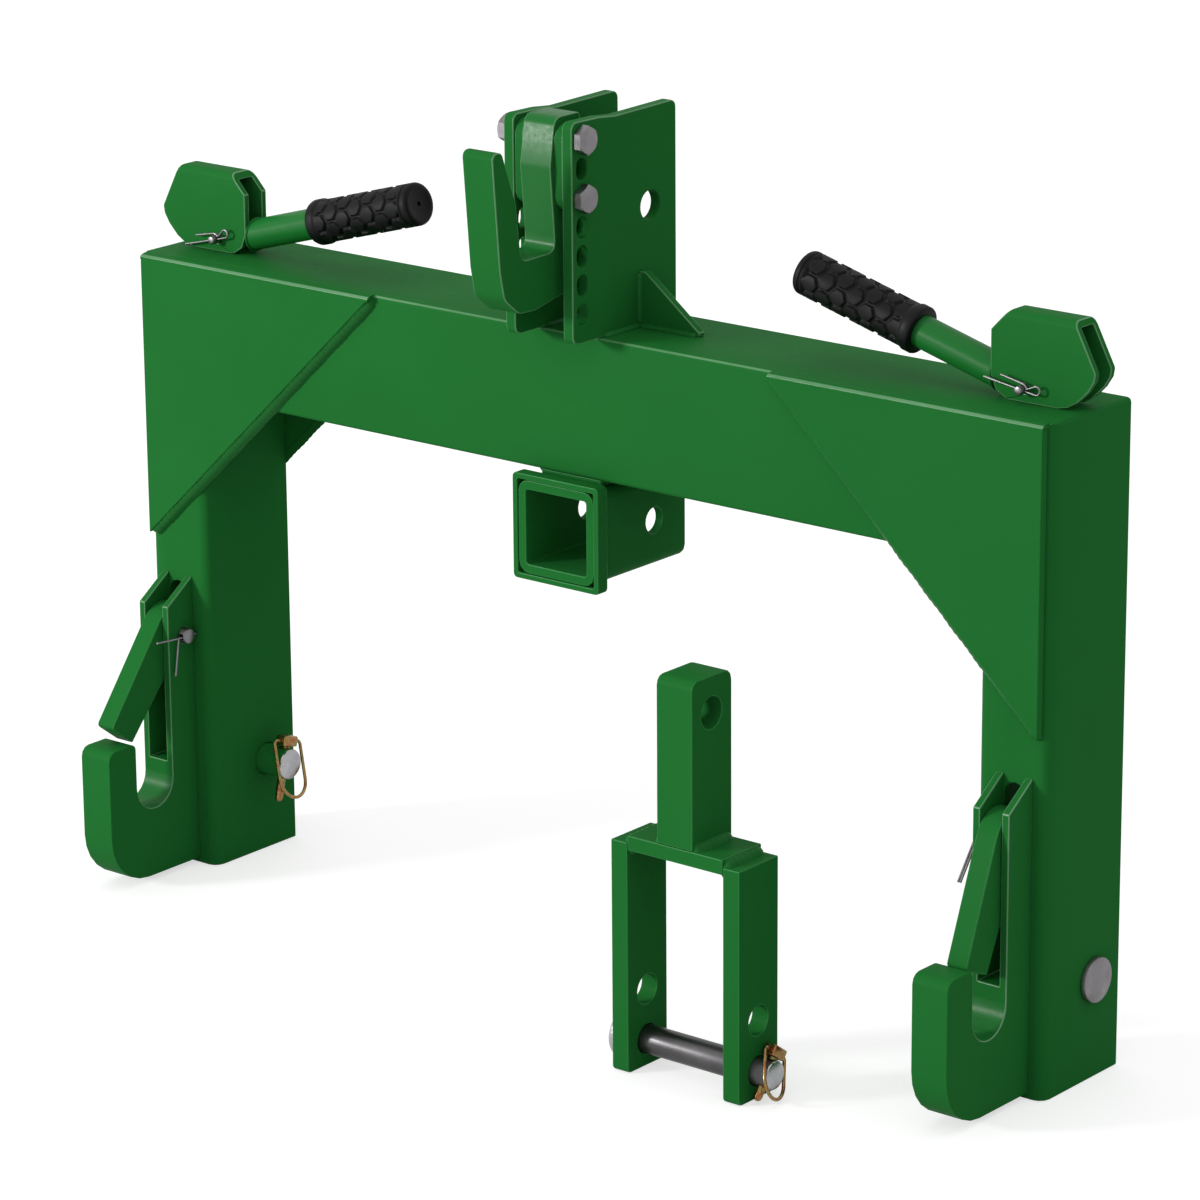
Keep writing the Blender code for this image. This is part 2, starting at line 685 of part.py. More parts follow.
def receiver():
    half = RECEIVER_OUTER / 2
    bore = RECEIVER_BORE / 2
    mouth = FRONT - COLLAR_AHEAD + COLLAR_RECESS
    back = FRONT + FRAME_DEPTH
    over = RECEIVER_CORNER
    tube = prism(rectangle(-half, half, RECEIVER_Z - half, RECEIVER_Z + half, RECEIVER_CORNER),
                 "Y", mouth, back)
    cut(tube, prism(rectangle(-bore, bore, RECEIVER_Z - bore, RECEIVER_Z + bore, RECEIVER_BORE_CORNER),
                    "Y", mouth - over, back + over))
    spot = (FRONT + HITCH_HOLE_Y, RECEIVER_Z)
    cut(tube, bar((-half - over, *spot), (half + over, *spot), HITCH_HOLE_DIAMETER / 2, ROUND_SIDES))
    piece(tube, "receiver_tube", PAINT)
    size = COLLAR_SIZE / 2
    ring = half + GAP
    start = FRONT - COLLAR_AHEAD
    collar = prism(rectangle(-size, size, RECEIVER_Z - size, RECEIVER_Z + size, COLLAR_CORNER),
                   "Y", start, start + COLLAR_DEPTH)
    cut(collar, prism(rectangle(-ring, ring, RECEIVER_Z - ring, RECEIVER_Z + ring, COLLAR_CORNER / 2),
                      "Y", start - over, start + COLLAR_DEPTH + over))
    piece(collar, "receiver_collar", PAINT)
    piece(box(-PAD_WIDTH / 2, PAD_WIDTH / 2, FRONT + PAD_INSET, back - PAD_INSET,
              RECEIVER_Z + half + GAP, BEAM_BOTTOM - GAP), "receiver_pad", PAINT)


def lower_hook(side):
    middle = across(side, HOOK_INSET)
    half = HOOK_THICKNESS / 2
    wall = FRONT - CHEEK_DEPTH
    horn = wall - THROAT_WIDTH
    radius = THROAT_WIDTH / 2
    face = FRONT - GAP
    outline = corner((horn, HOOK_FOOT), (FRONT - HOOK_REACH, HOOK_FOOT),
                     (FRONT - HOOK_REACH, HORN_TOP), HOOK_TOE_RADIUS)
    outline += corner((FRONT - HOOK_REACH, HOOK_FOOT), (FRONT - HOOK_REACH, HORN_TOP),
                      (horn, HORN_TOP), HORN_ROUND)
    outline += corner((FRONT - HOOK_REACH, HORN_TOP), (horn, HORN_TOP), (horn, THROAT_FLOOR),
                      HORN_ROUND / 2)
    outline += arc((wall - radius, THROAT_FLOOR + radius), radius, math.pi, math.pi)
    outline += [(wall, CHEEK_TOP), (face, HOOK_TOP), (face, HOOK_FOOT)]
    hook = prism(outline, "X", middle - half, middle + half)
    slot = LATCH_SLOT / 2
    over = HOOK_THICKNESS
    pin = PIVOT_PIN_DIAMETER / 2 + GAP
    spot = (FRONT - PIVOT_SETBACK, PIVOT_HEIGHT)
    cut(hook, box(middle - slot, middle + slot, wall - over, FRONT + over, SLOT_FLOOR, HOOK_TOP + over))
    reach = half - PIVOT_PIN_COVER if side > 0 else over
    cut(hook, bar((middle - over, *spot), (middle + reach, *spot), pin))
    piece(hook, side_name(side) + "_lower_hook", PAINT)


def latch(side):
    middle = across(side, HOOK_INSET)
    half = LATCH_THICKNESS / 2
    pivot = Vector((FRONT - PIVOT_SETBACK, PIVOT_HEIGHT))
    tip = math.radians(LATCH_TIP_DEG[side])
    down = Vector((-math.sin(tip), -math.cos(tip)))
    ahead = Vector((-math.cos(tip), math.sin(tip)))
    tail = Vector((math.cos(HALF_SWING), -math.sin(HALF_SWING)))
    up = Vector((math.sin(HALF_SWING), math.cos(HALF_SWING)))
    pin = FORK_PIN_DIAMETER / 2 + TAIL_PLAY
    far = TAIL_REACH / math.cos(HALF_SWING)
    near = TAIL_REACH
    root = pivot - ahead * LATCH_ROOT_BACK
    heel = pivot + down * LATCH_TIP_REACH - ahead * LATCH_TIP_BACK
    toe = pivot + down * LATCH_TIP_REACH + ahead * LATCH_HEAD_RADIUS
    brow = pivot + ahead * LATCH_HEAD_RADIUS
    blade = corner(tuple(heel), tuple(toe), tuple(brow), LATCH_TIP_RADIUS)
    start = math.atan2(ahead.y, ahead.x)
    rise = math.asin(TAIL_HALF_WIDTH / LATCH_HEAD_RADIUS)
    stop = math.atan2(tail.y, tail.x) + rise
    blade += arc(pivot, LATCH_HEAD_RADIUS, start, stop - start)
    end = pivot + tail * (far + TAIL_PLAY)
    blade += arc(end, TAIL_HALF_WIDTH, math.atan2(up.y, up.x), -math.pi)
    edge = pivot - up * TAIL_HALF_WIDTH
    back = heel - root
    swing = tail.x * back.y - tail.y * back.x
    reach = ((root - edge).x * back.y - (root - edge).y * back.x) / swing
    blade += [tuple(edge + tail * reach), tuple(heel)]
    body = prism(blade, "X", middle - half, middle + half)
    over = LATCH_THICKNESS
    start = pivot + tail * (near - TAIL_PLAY)
    slot = arc(end, pin, math.atan2(-up.y, -up.x), math.pi)
    slot += arc(start, pin, math.atan2(up.y, up.x), math.pi)
    cut(body, prism(slot, "X", middle - over, middle + over))
    cut(body, bar((middle - over, *pivot), (middle + over, *pivot), PIVOT_PIN_DIAMETER / 2 + GAP))
    piece(body, side_name(side) + "_latch", PAINT, origin=(middle, *pivot))
    return middle, pivot


def pivot_pin(side):
    middle = across(side, HOOK_INSET)
    inward = -side
    spot = (FRONT - PIVOT_SETBACK, PIVOT_HEIGHT)
    half = HOOK_THICKNESS / 2
    shank = PIVOT_PIN_DIAMETER / 2
    head = PIVOT_PIN_HEAD / 2
    chamfer = PIN_CHAMFER / 2
    thick = PIVOT_PIN_HEAD_HEIGHT
    if side > 0:
        seat = half - PIVOT_PIN_COVER - GAP
        profile = [(0, shank - chamfer), (chamfer, shank)]
    else:
        seat = half + GAP + thick
        profile = [(0, head - chamfer), (chamfer, head), (thick, head), (thick, shank)]
    length = seat + half + PIVOT_PIN_TAIL
    pin = turned((middle + side * seat, *spot), (inward, 0, 0),
                 profile + [(length - chamfer, shank), (length, shank - chamfer)], SMALL_SIDES)
    wire = COTTER_WIRE / 2
    place = middle + inward * (half + COTTER_SETBACK)
    cut(pin, bar((place, spot[0] - head, spot[1]), (place, spot[0] + head, spot[1]), 2 * wire + 2 * GAP))
    piece(pin, side_name(side) + "_latch_pin", STEEL, 0.9, 0.3)
    apart = wire + GAP / 2
    front = spot[0] - shank - COTTER_WIRE
    back = spot[0] + shank + GAP
    eye = COTTER_EYE / 2
    ahead, rise = COTTER_FRONT_LEG[side]
    legs = [(place + apart, front - ahead, spot[1] + rise), (place + apart, front, spot[1]),
            (place + apart, back, spot[1])]
    path = bend(legs, COTTER_WIRE)
    for k in range(1, 8):
        turn = math.radians(-60 + 300 * k / 8)
        path.append(Vector((place + eye * math.cos(turn), back + eye * (1 + math.sin(turn)), spot[1])))
    ahead, rise = COTTER_DOWN_LEG[side]
    legs = [(place - apart, back, spot[1]), (place - apart, front, spot[1]),
            (place - apart, front - ahead, spot[1] + rise)]
    path += bend(legs, COTTER_WIRE)
    piece(sweep(path, wire, WIRE_SIDES), side_name(side) + "_cotter", STEEL, 0.9, 0.3)


def lift_rod(side):
    top = across(side, ROD_TOP_INSET)
    low = across(side, HOOK_INSET)
    y = FRONT + ROD_Y
    radius = ROD_DIAMETER / 2
    eye_z = CLEVIS_PIN_Z
    knee = eye_z - ROD_STRAIGHT
    ankle = knee - ROD_JOG
    bridge = TAIL_HALF_WIDTH / math.cos(HALF_SWING) + FORK_DEPTH / 2 * math.tan(HALF_SWING) + 2 * GAP
    fork_top = FORK_PIN_HEIGHT + bridge + FORK_BRIDGE
    path = bend([(top, y, eye_z), (top, y, knee), (low, y, ankle), (low, y, fork_top - FORK_BRIDGE / 2)],
                ROD_BEND_RADIUS)
    rod = sweep(path, radius, SMALL_SIDES)
    half = ROD_EYE_THICKNESS / 2
    eye = bar((top, y - half, eye_z), (top, y + half, eye_z), ROD_EYE_RADIUS, ROUND_SIDES)
    slot = LATCH_THICKNESS / 2 + FORK_SIDE_GAP
    wide = slot + FORK_CHEEK
    deep = FORK_DEPTH / 2
    fork = box(low - wide, low + wide, y - deep, y + deep, FORK_PIN_HEIGHT - FORK_BELOW, fork_top)
    cut(fork, box(low - slot, low + slot, y - FORK_DEPTH, y + FORK_DEPTH,
                  FORK_PIN_HEIGHT - FORK_DEPTH, FORK_PIN_HEIGHT + bridge))
    guide = BEAM_BOTTOM - GUIDE_DROP - GUIDE_THICKNESS
    spring = (guide - fork_top) * SPRING_SHARE
    seat_top = guide - spring
    seat = bar((low, y, seat_top - SPRING_SEAT_HEIGHT), (low, y, seat_top), SPRING_SEAT_DIAMETER / 2)
    join(rod, eye, fork, seat)
    pin = FORK_PIN_DIAMETER / 2
    cut(rod, bar((top, y - ROD_DIAMETER, eye_z), (top, y + ROD_DIAMETER, eye_z),
                 CLEVIS_PIN_DIAMETER / 2 + GAP),
        bar((low - 2 * wide, y, FORK_PIN_HEIGHT), (low + 2 * wide, y, FORK_PIN_HEIGHT), pin + GAP))
    piece(rod, side_name(side) + "_lift_rod", STEEL, 0.8, 0.45, origin=(top, y, eye_z))
    end = wide + PIN_CHAMFER
    chamfer = PIN_CHAMFER / 2
    cross = turned((low - end, y, FORK_PIN_HEIGHT), (1, 0, 0),
                   [(0, pin - chamfer), (chamfer, pin), (2 * end - chamfer, pin), (2 * end, pin - chamfer)],
                   SMALL_SIDES)
    piece(cross, side_name(side) + "_fork_pin", STEEL, 0.9, 0.35)
    wire = SPRING_WIRE / 2
    mean = SPRING_MEAN_DIAMETER / 2
    bottom = seat_top + GAP + wire
    height = spring - 2 * GAP - SPRING_WIRE
    steps = SPRING_TURNS * SPRING_STEPS
    flat = 1.0 / SPRING_TURNS
    coil = []
    for k in range(steps + 1):
        share = k / steps
        rise = min(max((share - flat) / (1 - 2 * flat), 0.0), 1.0)
        ends = min(share, flat) / flat + max(share - 1 + flat, 0.0) / flat
        angle = 2 * math.pi * SPRING_TURNS * share
        coil.append((low + mean * math.cos(angle), y + mean * math.sin(angle),
                     bottom + ends * SPRING_CLOSED_PITCH + rise * (height - 2 * SPRING_CLOSED_PITCH)))
    piece(sweep(coil, wire, WIRE_SIDES), side_name(side) + "_latch_spring", DARK, 0.8, 0.4)


def cam_lever(side):
    y = FRONT + HOOD_Y
    half = HOOD_WIDTH / 2
    high = HOOD_BOTTOM + HOOD_HEIGHT
    outline = rounded([(across(side, HOOD_OUTER + HOOD_LENGTH * p), HOOD_BOTTOM + HOOD_HEIGHT * q,
                        HOOD_LENGTH * r) for p, q, r in HOOD_SHARES])
    fold = HOOD_FOLD_RADIUS
    inner = half - HOOD_SHEET
    low = HOOD_BOTTOM - HOOD_SHEET
    inner_fold = fold - HOOD_SHEET
    section = rounded([
        (y - half, low, 0), (y - half, high, fold), (y + half, high, fold), (y + half, low, 0),
        (y + inner, low, 0), (y + inner, high - HOOD_SHEET, inner_fold),
        (y - inner, high - HOOD_SHEET, inner_fold), (y - inner, low, 0)])
    hood = prism(section, "X", across(side, HOOD_OUTER - HOOD_SHEET),
                 across(side, HOOD_OUTER + HOOD_LENGTH + HOOD_SHEET))
    common(hood, prism(outline, "Y", y - HOOD_WIDTH, y + HOOD_WIDTH))
    pin_x = across(side, ROD_TOP_INSET)
    cut(hood, bar((pin_x, y - HOOD_WIDTH, CLEVIS_PIN_Z), (pin_x, y + HOOD_WIDTH, CLEVIS_PIN_Z),
                  CLEVIS_PIN_DIAMETER / 2 + GAP))
    axis = (pin_x, y, CLEVIS_PIN_Z)
    piece(hood, side_name(side) + "_lever_hood", PAINT, origin=axis)
    root = across(side, HOOD_OUTER + HOOD_LENGTH + GAP)
    z = HOOD_BOTTOM + HOOD_HEIGHT * HANDLE_HEIGHT_SHARE
    along = Vector((-side * math.cos(HANDLE_TILT), 0, math.sin(HANDLE_TILT)))
    radius = HANDLE_DIAMETER / 2
    bore = radius - HANDLE_WALL
    base = Vector((root, y, z)) - along * radius
    length = HANDLE_LENGTH + radius
    tube = turned(base, along, [(0, bore), (length, bore), (length, radius), (0, radius)],
                  ROUND_SIDES, True)
    cut(tube, box(root, root + side * HANDLE_DIAMETER, y - HANDLE_DIAMETER, y + HANDLE_DIAMETER,
                  z - HANDLE_DIAMETER, z + HANDLE_DIAMETER))
    piece(tube, side_name(side) + "_lever_tube", PAINT, origin=axis)
    inside = radius + GAP
    grip = GRIP_DIAMETER / 2
    flange = GRIP_FLANGE_DIAMETER / 2
    start = GRIP_START
    stop = GRIP_START + GRIP_LENGTH
    soft = GRIP_END_ROUND
    vent = GRIP_VENT_DIAMETER / 2
    profile = [(start, inside), (stop - GRIP_END, inside), (stop - GRIP_END, vent), (stop, vent),
               (stop, grip - soft), (stop - soft / 3, grip - soft / 3), (stop - soft, grip),
               (start + GRIP_FLANGE_LENGTH + soft / 2, grip), (start + GRIP_FLANGE_LENGTH, flange - soft / 3),
               (start + GRIP_FLANGE_LENGTH - soft / 3, flange), (start + soft / 3, flange),
               (start, flange - soft / 3)]
    sleeve = turned((root, y, z), along, profile, ROUND_SIDES, True)
    piece(sleeve, side_name(side) + "_lever_grip", RUBBER, 0.0, 0.6, origin=axis)
    face = y - half
    shank = CLEVIS_PIN_DIAMETER / 2
    head = CLEVIS_PIN_HEAD / 2
    thick = CLEVIS_PIN_HEAD_HEIGHT
    chamfer = PIN_CHAMFER / 2
    begin = y + half + GAP + thick
    span = begin - face + CLEVIS_PIN_AHEAD
    pin = turned((pin_x, begin, CLEVIS_PIN_Z), (0, -1, 0),
                 [(0, head - chamfer), (chamfer, head), (thick, head), (thick, shank),
                  (span - chamfer, shank), (span, shank - chamfer)], SMALL_SIDES)
    wire = CLIP_WIRE / 2
    place = face - CLEVIS_PIN_AHEAD + CLIP_SETBACK
    tilt = math.radians(CLIP_TILT_DEG[side])
    cross = bar((pin_x - head, place, CLEVIS_PIN_Z), (pin_x + head, place, CLEVIS_PIN_Z), wire + GAP)
    turn_about(cross, axis, "Y", -tilt)
    cut(pin, cross)
    piece(pin, side_name(side) + "_clevis_pin", STEEL, 0.9, 0.3, origin=axis)
    loop = CLIP_LOOP / 2
    hump = shank + wire + 2 * GAP
    path = [(CLIP_LONG_LEG, 0), (-CLIP_SHORT_LEG, 0)]
    flat = [Vector(p) for p in path]
    centre = Vector((-CLIP_SHORT_LEG, loop))
    for k in range(1, 10):
        turn = math.radians(-90 - 250 * k / 10)
        flat.append(centre + Vector((math.cos(turn), math.sin(turn))) * loop)
    for k in range(5):
        turn = math.radians(158 - 68 * k / 4)
        flat.append(Vector((math.cos(turn), math.sin(turn))) * hump)
    flat.append(Vector((CLIP_TAIL, hump + wire)))
    wires = [(pin_x - p.x, place, CLEVIS_PIN_Z + p.y) for p in flat]
    clip = turn_about(sweep(wires, wire, WIRE_SIDES), axis, "Y", -tilt)
    piece(clip, side_name(side) + "_r_clip", STEEL, 0.9, 0.25, origin=(pin_x, place, CLEVIS_PIN_Z))


def lynch(name, centre, outward, radius, below, drop, tilt):
    """A lynch pin with its ring, through a cross pin along X whose end faces outward."""
    shank = LYNCH_DIAMETER / 2
    rest = radius + LYNCH_BLOCK_HEIGHT / 2 + RING_WIRE / 2
    low = rest - LYNCH_BLOCK_HEIGHT / 2
    high = rest + LYNCH_BLOCK_HEIGHT / 2
    x, y, z = centre
    chamfer = PIN_CHAMFER
    block = prism(rectangle(x - LYNCH_BLOCK_WIDTH / 2, x + LYNCH_BLOCK_WIDTH / 2,
                            y - LYNCH_BLOCK_LENGTH / 2, y + LYNCH_BLOCK_LENGTH / 2, chamfer),
                  "Z", z + low, z + high)
    stem = turned((x, y, z + rest), (0, 0, -1),
                  [(0, shank), (rest + below - chamfer, shank), (rest + below, shank - chamfer)],
                  SMALL_SIDES)
    join(block, stem)
    wire = RING_WIRE / 2
    wide = radius + RING_SIDE_GAP + wire
    cut(block, bar((x, y - LYNCH_BLOCK_LENGTH, z + rest), (x, y + LYNCH_BLOCK_LENGTH, z + rest),
                   wire + GAP))
    pivot = (x, y, z + rest)
    bottom = z - radius - drop + wide
    loop = [(y - wide, z + rest, shank), (y - wide, bottom, 0)]
    flat = corner((y + wide, z + rest), (y - wide, z + rest), (y - wide, bottom), shank)
    flat += arc((y, bottom), wide, math.pi, math.pi)
    flat += corner((y + wide, bottom), (y + wide, z + rest), (y - wide, z + rest), shank)
    ring = sweep([(x, p, q) for p, q in flat], wire, WIRE_SIDES, True)
    turn_about(ring, pivot, "Y", -outward * math.radians(RING_LEAN_DEG))
    spin = -math.radians(tilt)
    turn_about(block, centre, "X", spin)
    turn_about(ring, centre, "X", spin)
    place = Matrix.Rotation(spin, 3, "X") @ Vector((0, 0, rest)) + Vector(centre)
    piece(block, name + "_lynch_pin", ZINC, 0.9, 0.35, origin=tuple(centre))
    piece(ring, name + "_lynch_ring", ZINC, 0.9, 0.35, origin=tuple(place))


def cross_pin(name, start, direction, head, thick, radius, length, hole, tilt, colour):
    """A headed pin along X with a cross hole for its lynch pin near the far end."""
    chamfer = PIN_CHAMFER
    begin = Vector(start) - Vector((direction * thick, 0, 0))
    total = thick + length
    pin = turned(begin, (direction, 0, 0),
                 [(0, head - chamfer), (chamfer, head), (thick, head), (thick, radius),
                  (total - chamfer, radius), (total, radius - chamfer)], ROUND_SIDES)
    spot = Vector(start) + Vector((direction * hole, 0, 0))
    drill = bar(spot - Vector((0, 0, head)), spot + Vector((0, 0, head)), LYNCH_DIAMETER / 2 + GAP)
    turn_about(drill, spot, "X", -math.radians(tilt))
    cut(pin, drill)
    piece(pin, name, colour, 0.6, 0.4, origin=tuple(start))
    return spot


def link_pin(side):
    y = FRONT + LINK_PIN_Y
    start = (across(side, -GAP), y, LINK_PIN_HEIGHT)
    length = GAP + LEG_WIDTH + LINK_PIN_OUT
    spot = cross_pin(side_name(side) + "_link_pin", start, -side, LINK_PIN_HEAD / 2,
                     LINK_PIN_HEAD_HEIGHT, LINK_PIN_DIAMETER / 2, length, length - LYNCH_END,
                     LYNCH_TILT_DEG, PAINT)
    lynch(side_name(side), spot, -side, LINK_PIN_DIAMETER / 2, LYNCH_BELOW, RING_DROP - LYNCH_END,
          LYNCH_TILT_DEG)


def adapter():
    front = FRONT - ADAPTER_AHEAD
    back = front + ADAPTER_DEPTH
    left = ADAPTER_X - ADAPTER_WIDTH / 2
    right = ADAPTER_X + ADAPTER_WIDTH / 2
    middle = (front + back) / 2
    radius = ADAPTER_HOLE_DIAMETER / 2
    levels = (ADAPTER_HOLE_LOW, ADAPTER_HOLE_LOW + ADAPTER_HOLE_PITCH)
    for word, outer, inner in (("left", left, left + ADAPTER_PLATE), ("right", right, right - ADAPTER_PLATE)):
        plate = prism(rounded([(front, 0, ADAPTER_CORNER), (back, 0, ADAPTER_CORNER),
                               (back, ADAPTER_LEG_HEIGHT, 0), (front, ADAPTER_LEG_HEIGHT, 0)]),
                      "X", outer, inner)
        for level in levels:
            cut(plate, bar((left - radius, middle, level), (right + radius, middle, level), radius,
                           ROUND_SIDES))
        piece(plate, "adapter_" + word + "_plate", PAINT)
    top = ADAPTER_LEG_HEIGHT + ADAPTER_CROSS_RISE
    piece(box(left + ADAPTER_PLATE + GAP, right - ADAPTER_PLATE - GAP, front, back,
              top - ADAPTER_CROSS_THICKNESS, top), "adapter_cross_plate", PAINT)
    half = ADAPTER_BAR_WIDTH / 2
    deep = ADAPTER_BAR_DEPTH / 2
    low = top + GAP
    high = low + ADAPTER_BAR_HEIGHT
    post = prism(rounded([(middle - deep, low, 0), (middle + deep, low, 0),
                          (middle + deep, high, ADAPTER_BAR_ROUND),
                          (middle - deep, high, ADAPTER_BAR_ROUND)]), "X",
                 ADAPTER_X - half, ADAPTER_X + half)
    level = high - ADAPTER_BAR_HOLE_DROP
    cut(post, bar((ADAPTER_X - ADAPTER_BAR_WIDTH, middle, level),
                  (ADAPTER_X + ADAPTER_BAR_WIDTH, middle, level), ADAPTER_BAR_HOLE / 2, ROUND_SIDES))
    piece(post, "adapter_bar", PAINT)
    start = (left - GAP, middle, ADAPTER_HOLE_LOW)
    length = ADAPTER_WIDTH + ADAPTER_PIN_OUT + GAP
    spot = cross_pin("adapter_pin", start, 1, ADAPTER_PIN_HEAD / 2, ADAPTER_PIN_HEAD_HEIGHT,
                     ADAPTER_PIN_DIAMETER / 2, length, length - LYNCH_END, ADAPTER_LYNCH_TILT_DEG, STEEL)
    lynch("adapter", spot, 1, ADAPTER_PIN_DIAMETER / 2, ADAPTER_LYNCH_BELOW, ADAPTER_RING_DROP - LYNCH_END,
          ADAPTER_LYNCH_TILT_DEG)


def build():
    for thing in list(bpy.data.objects):
        bpy.data.objects.remove(thing, do_unlink=True)
    crossbeam()
    for side in (-1, 1):
        leg(side)
        gussets(side)
        mast(side)
        lower_hook(side)
        latch(side)
        pivot_pin(side)
        lift_rod(side)
        cam_lever(side)
        link_pin(side)
    top_hook()
    receiver()
    adapter()


build()
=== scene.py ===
"""Looks for the three point quick hitch: paint, welds, bevelled edges, fine wires and moulded grips.

Metres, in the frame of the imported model. Each piece stands for the CAD node that it is made from.
A side is -1 on the left and 1 on the right.
"""
import json
import math

import bmesh
import bpy
from mathutils import Matrix, Vector

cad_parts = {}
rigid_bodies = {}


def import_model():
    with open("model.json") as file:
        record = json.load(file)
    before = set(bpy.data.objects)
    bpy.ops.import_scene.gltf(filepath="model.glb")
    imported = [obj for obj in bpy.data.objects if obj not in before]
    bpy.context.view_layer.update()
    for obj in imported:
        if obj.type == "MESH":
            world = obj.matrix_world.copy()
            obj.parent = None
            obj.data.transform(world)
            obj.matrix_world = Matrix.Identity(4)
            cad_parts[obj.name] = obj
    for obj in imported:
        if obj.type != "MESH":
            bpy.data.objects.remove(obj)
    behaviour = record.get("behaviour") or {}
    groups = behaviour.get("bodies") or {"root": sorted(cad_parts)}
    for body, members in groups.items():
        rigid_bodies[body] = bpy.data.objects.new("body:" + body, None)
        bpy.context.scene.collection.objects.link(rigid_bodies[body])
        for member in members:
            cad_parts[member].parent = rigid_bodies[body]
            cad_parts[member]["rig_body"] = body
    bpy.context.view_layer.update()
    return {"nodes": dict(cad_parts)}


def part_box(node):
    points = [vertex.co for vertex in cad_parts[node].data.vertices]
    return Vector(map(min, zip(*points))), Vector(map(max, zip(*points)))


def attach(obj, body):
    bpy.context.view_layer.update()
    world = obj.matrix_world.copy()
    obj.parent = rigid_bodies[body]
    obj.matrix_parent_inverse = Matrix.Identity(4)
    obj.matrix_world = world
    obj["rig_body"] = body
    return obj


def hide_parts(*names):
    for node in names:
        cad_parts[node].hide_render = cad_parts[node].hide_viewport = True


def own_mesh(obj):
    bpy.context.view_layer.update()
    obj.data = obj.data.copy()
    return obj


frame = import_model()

SIDES = (-1, 1)
UP = (0, 0, 1)
DOWN = (0, 0, -1)
REAR = (0, 1, 0)

# Sizes that repeat the model's own
GAP = 0.0003
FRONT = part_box("left_leg")[0].y
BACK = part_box("left_leg")[1].y
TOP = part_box("left_leg")[1].z
BEAM_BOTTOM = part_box("crossbeam")[0].z
THROAT_FRONT = 0.0630
THROAT_FLOOR = 0.050

# Pins: a head is (radius, thickness)
PIN_CHAMFER = 0.0012
PIN_ROUND = 0.3
PIN_END_ROUND = 0.35
PIN_HEAD_MARGIN = 0.0002
PIN_END_SHARE = 0.9
PIN_RADIUS = {"left": 0.011, "right": 0.011, "adapter": 0.0095}
LINK_PIN_HEAD = (0.015, 0.004)
ADAPTER_PIN_HEAD = (0.016, 0.0065)
CLEVIS_PIN_RADIUS = 0.003
CLEVIS_PIN_HEAD = (0.0055, 0.003)
LATCH_PIN_RADIUS = 0.0055
LATCH_PIN_HEAD = {-1: (0.0075, 0.003), 1: (0.0055, 0.003)}
COTTER_BORE = 0.0021

# Lever handles
HANDLE_TILT = math.radians(15.6)
HANDLE_SHARE = 0.240
TUBE_RADIUS = 0.01065
TUBE_BORE = 0.00805
TUBE_LENGTH = 0.151
TUBE_TRIM = Vector((0.03, 0.02, 0.03))

# Moulded grips
GRIP_START = 0.0615
GRIP_LENGTH = 0.094
GRIP_RADIUS = 0.01475
GRIP_BORE = 0.01095
GRIP_FLANGE = 0.01575
GRIP_FLANGE_LENGTH = 0.008
GRIP_TREAD_START = GRIP_FLANGE_LENGTH + 0.001
GRIP_TREAD_END = GRIP_LENGTH - 0.0075
GRIP_TREAD_FADE = 0.0025
GRIP_TREAD_STEPS = 150
GRIP_TURN_STEPS = 168
GRIP_GROOVE = 0.0018
GRIP_GROOVE_WIDTH = 0.0014
GRIP_GROOVE_SLOPE = 0.7
GRIP_CELLS = 7
GRIP_CORNER = 0.0030
GRIP_STEP = 0.0002
# How far each ring lies from the flange's start, or its end, and below its rim
GRIP_FLANGE_RINGS = ((0.0, 0.0012), (0.0005, 0.0004), (0.0014, 0.0))
GRIP_FLANGE_BACK = ((0.0016, 0.0), (0.0006, 0.0005))
# Along the groove before the end band, and below the grip's surface
GRIP_RING_GROOVE = ((0.0006, 0.0), (0.0010, 0.0007), (0.0018, 0.0010), (0.0026, 0.0007), (0.0030, 0.0))
# Before the end, and the radius: the dished end with its vent hole
GRIP_END_RINGS = ((0.0003, 0.0098), (0.0008, 0.0090), (0.0008, 0.0016), (0.0036, 0.0015))

# Lynch pins: straight shank, drilled block (along X, Y and Z) and ring
LYNCH_WIDE = 0.0058
LYNCH_BLOCK = (0.009, 0.014, 0.0075)
LYNCH_TILT_DEG = {"left": 14.0, "right": 14.0, "adapter": 35.0}
LYNCH_BELOW = {"left": 0.028, "right": 0.028, "adapter": 0.0185}
# Before the shank's tip, and the share of its radius
LYNCH_TIP = ((0.003, 1.0), (0.0012, 0.82), (0.0003, 0.5), (0.0, 0.2))
RING_WIRE = 0.0024
RING_PLAY = 0.0014
RING_DROP = {"left": 0.014, "right": 0.014, "adapter": 0.0070}
RING_LEAN_DEG = 22

# R-clips: the leg's end, the loop behind the pin, and the tail's end
CLIP_WIRE = 0.0015
CLIP_TILT_DEG = {-1: 14.0, 1: -9.0}
CLIP_LEG = 0.028
CLIP_BACK = 0.011
CLIP_LOOP = 0.0055 / 2
CLIP_TAIL = 0.016

# Cotters: how far each of the two legs leans to the front and ends above the pin's axis
COTTER_WIRE = 0.0015
COTTER_EYE = 0.0015
COTTER_LEGS = {-1: ((0.0235, 0.0019), (0.0044, -0.027)), 1: ((0.018, -0.024), (0.018, -0.024))}

# Latch springs
SPRING_BEHIND = 0.042
SPRING_WIRE_RADIUS = 0.0012
SPRING_RADIUS = 0.0078
SPRING_TURNS = 8
SPRING_TURN_STEPS = 28
SPRING_END_RISE = 0.0026

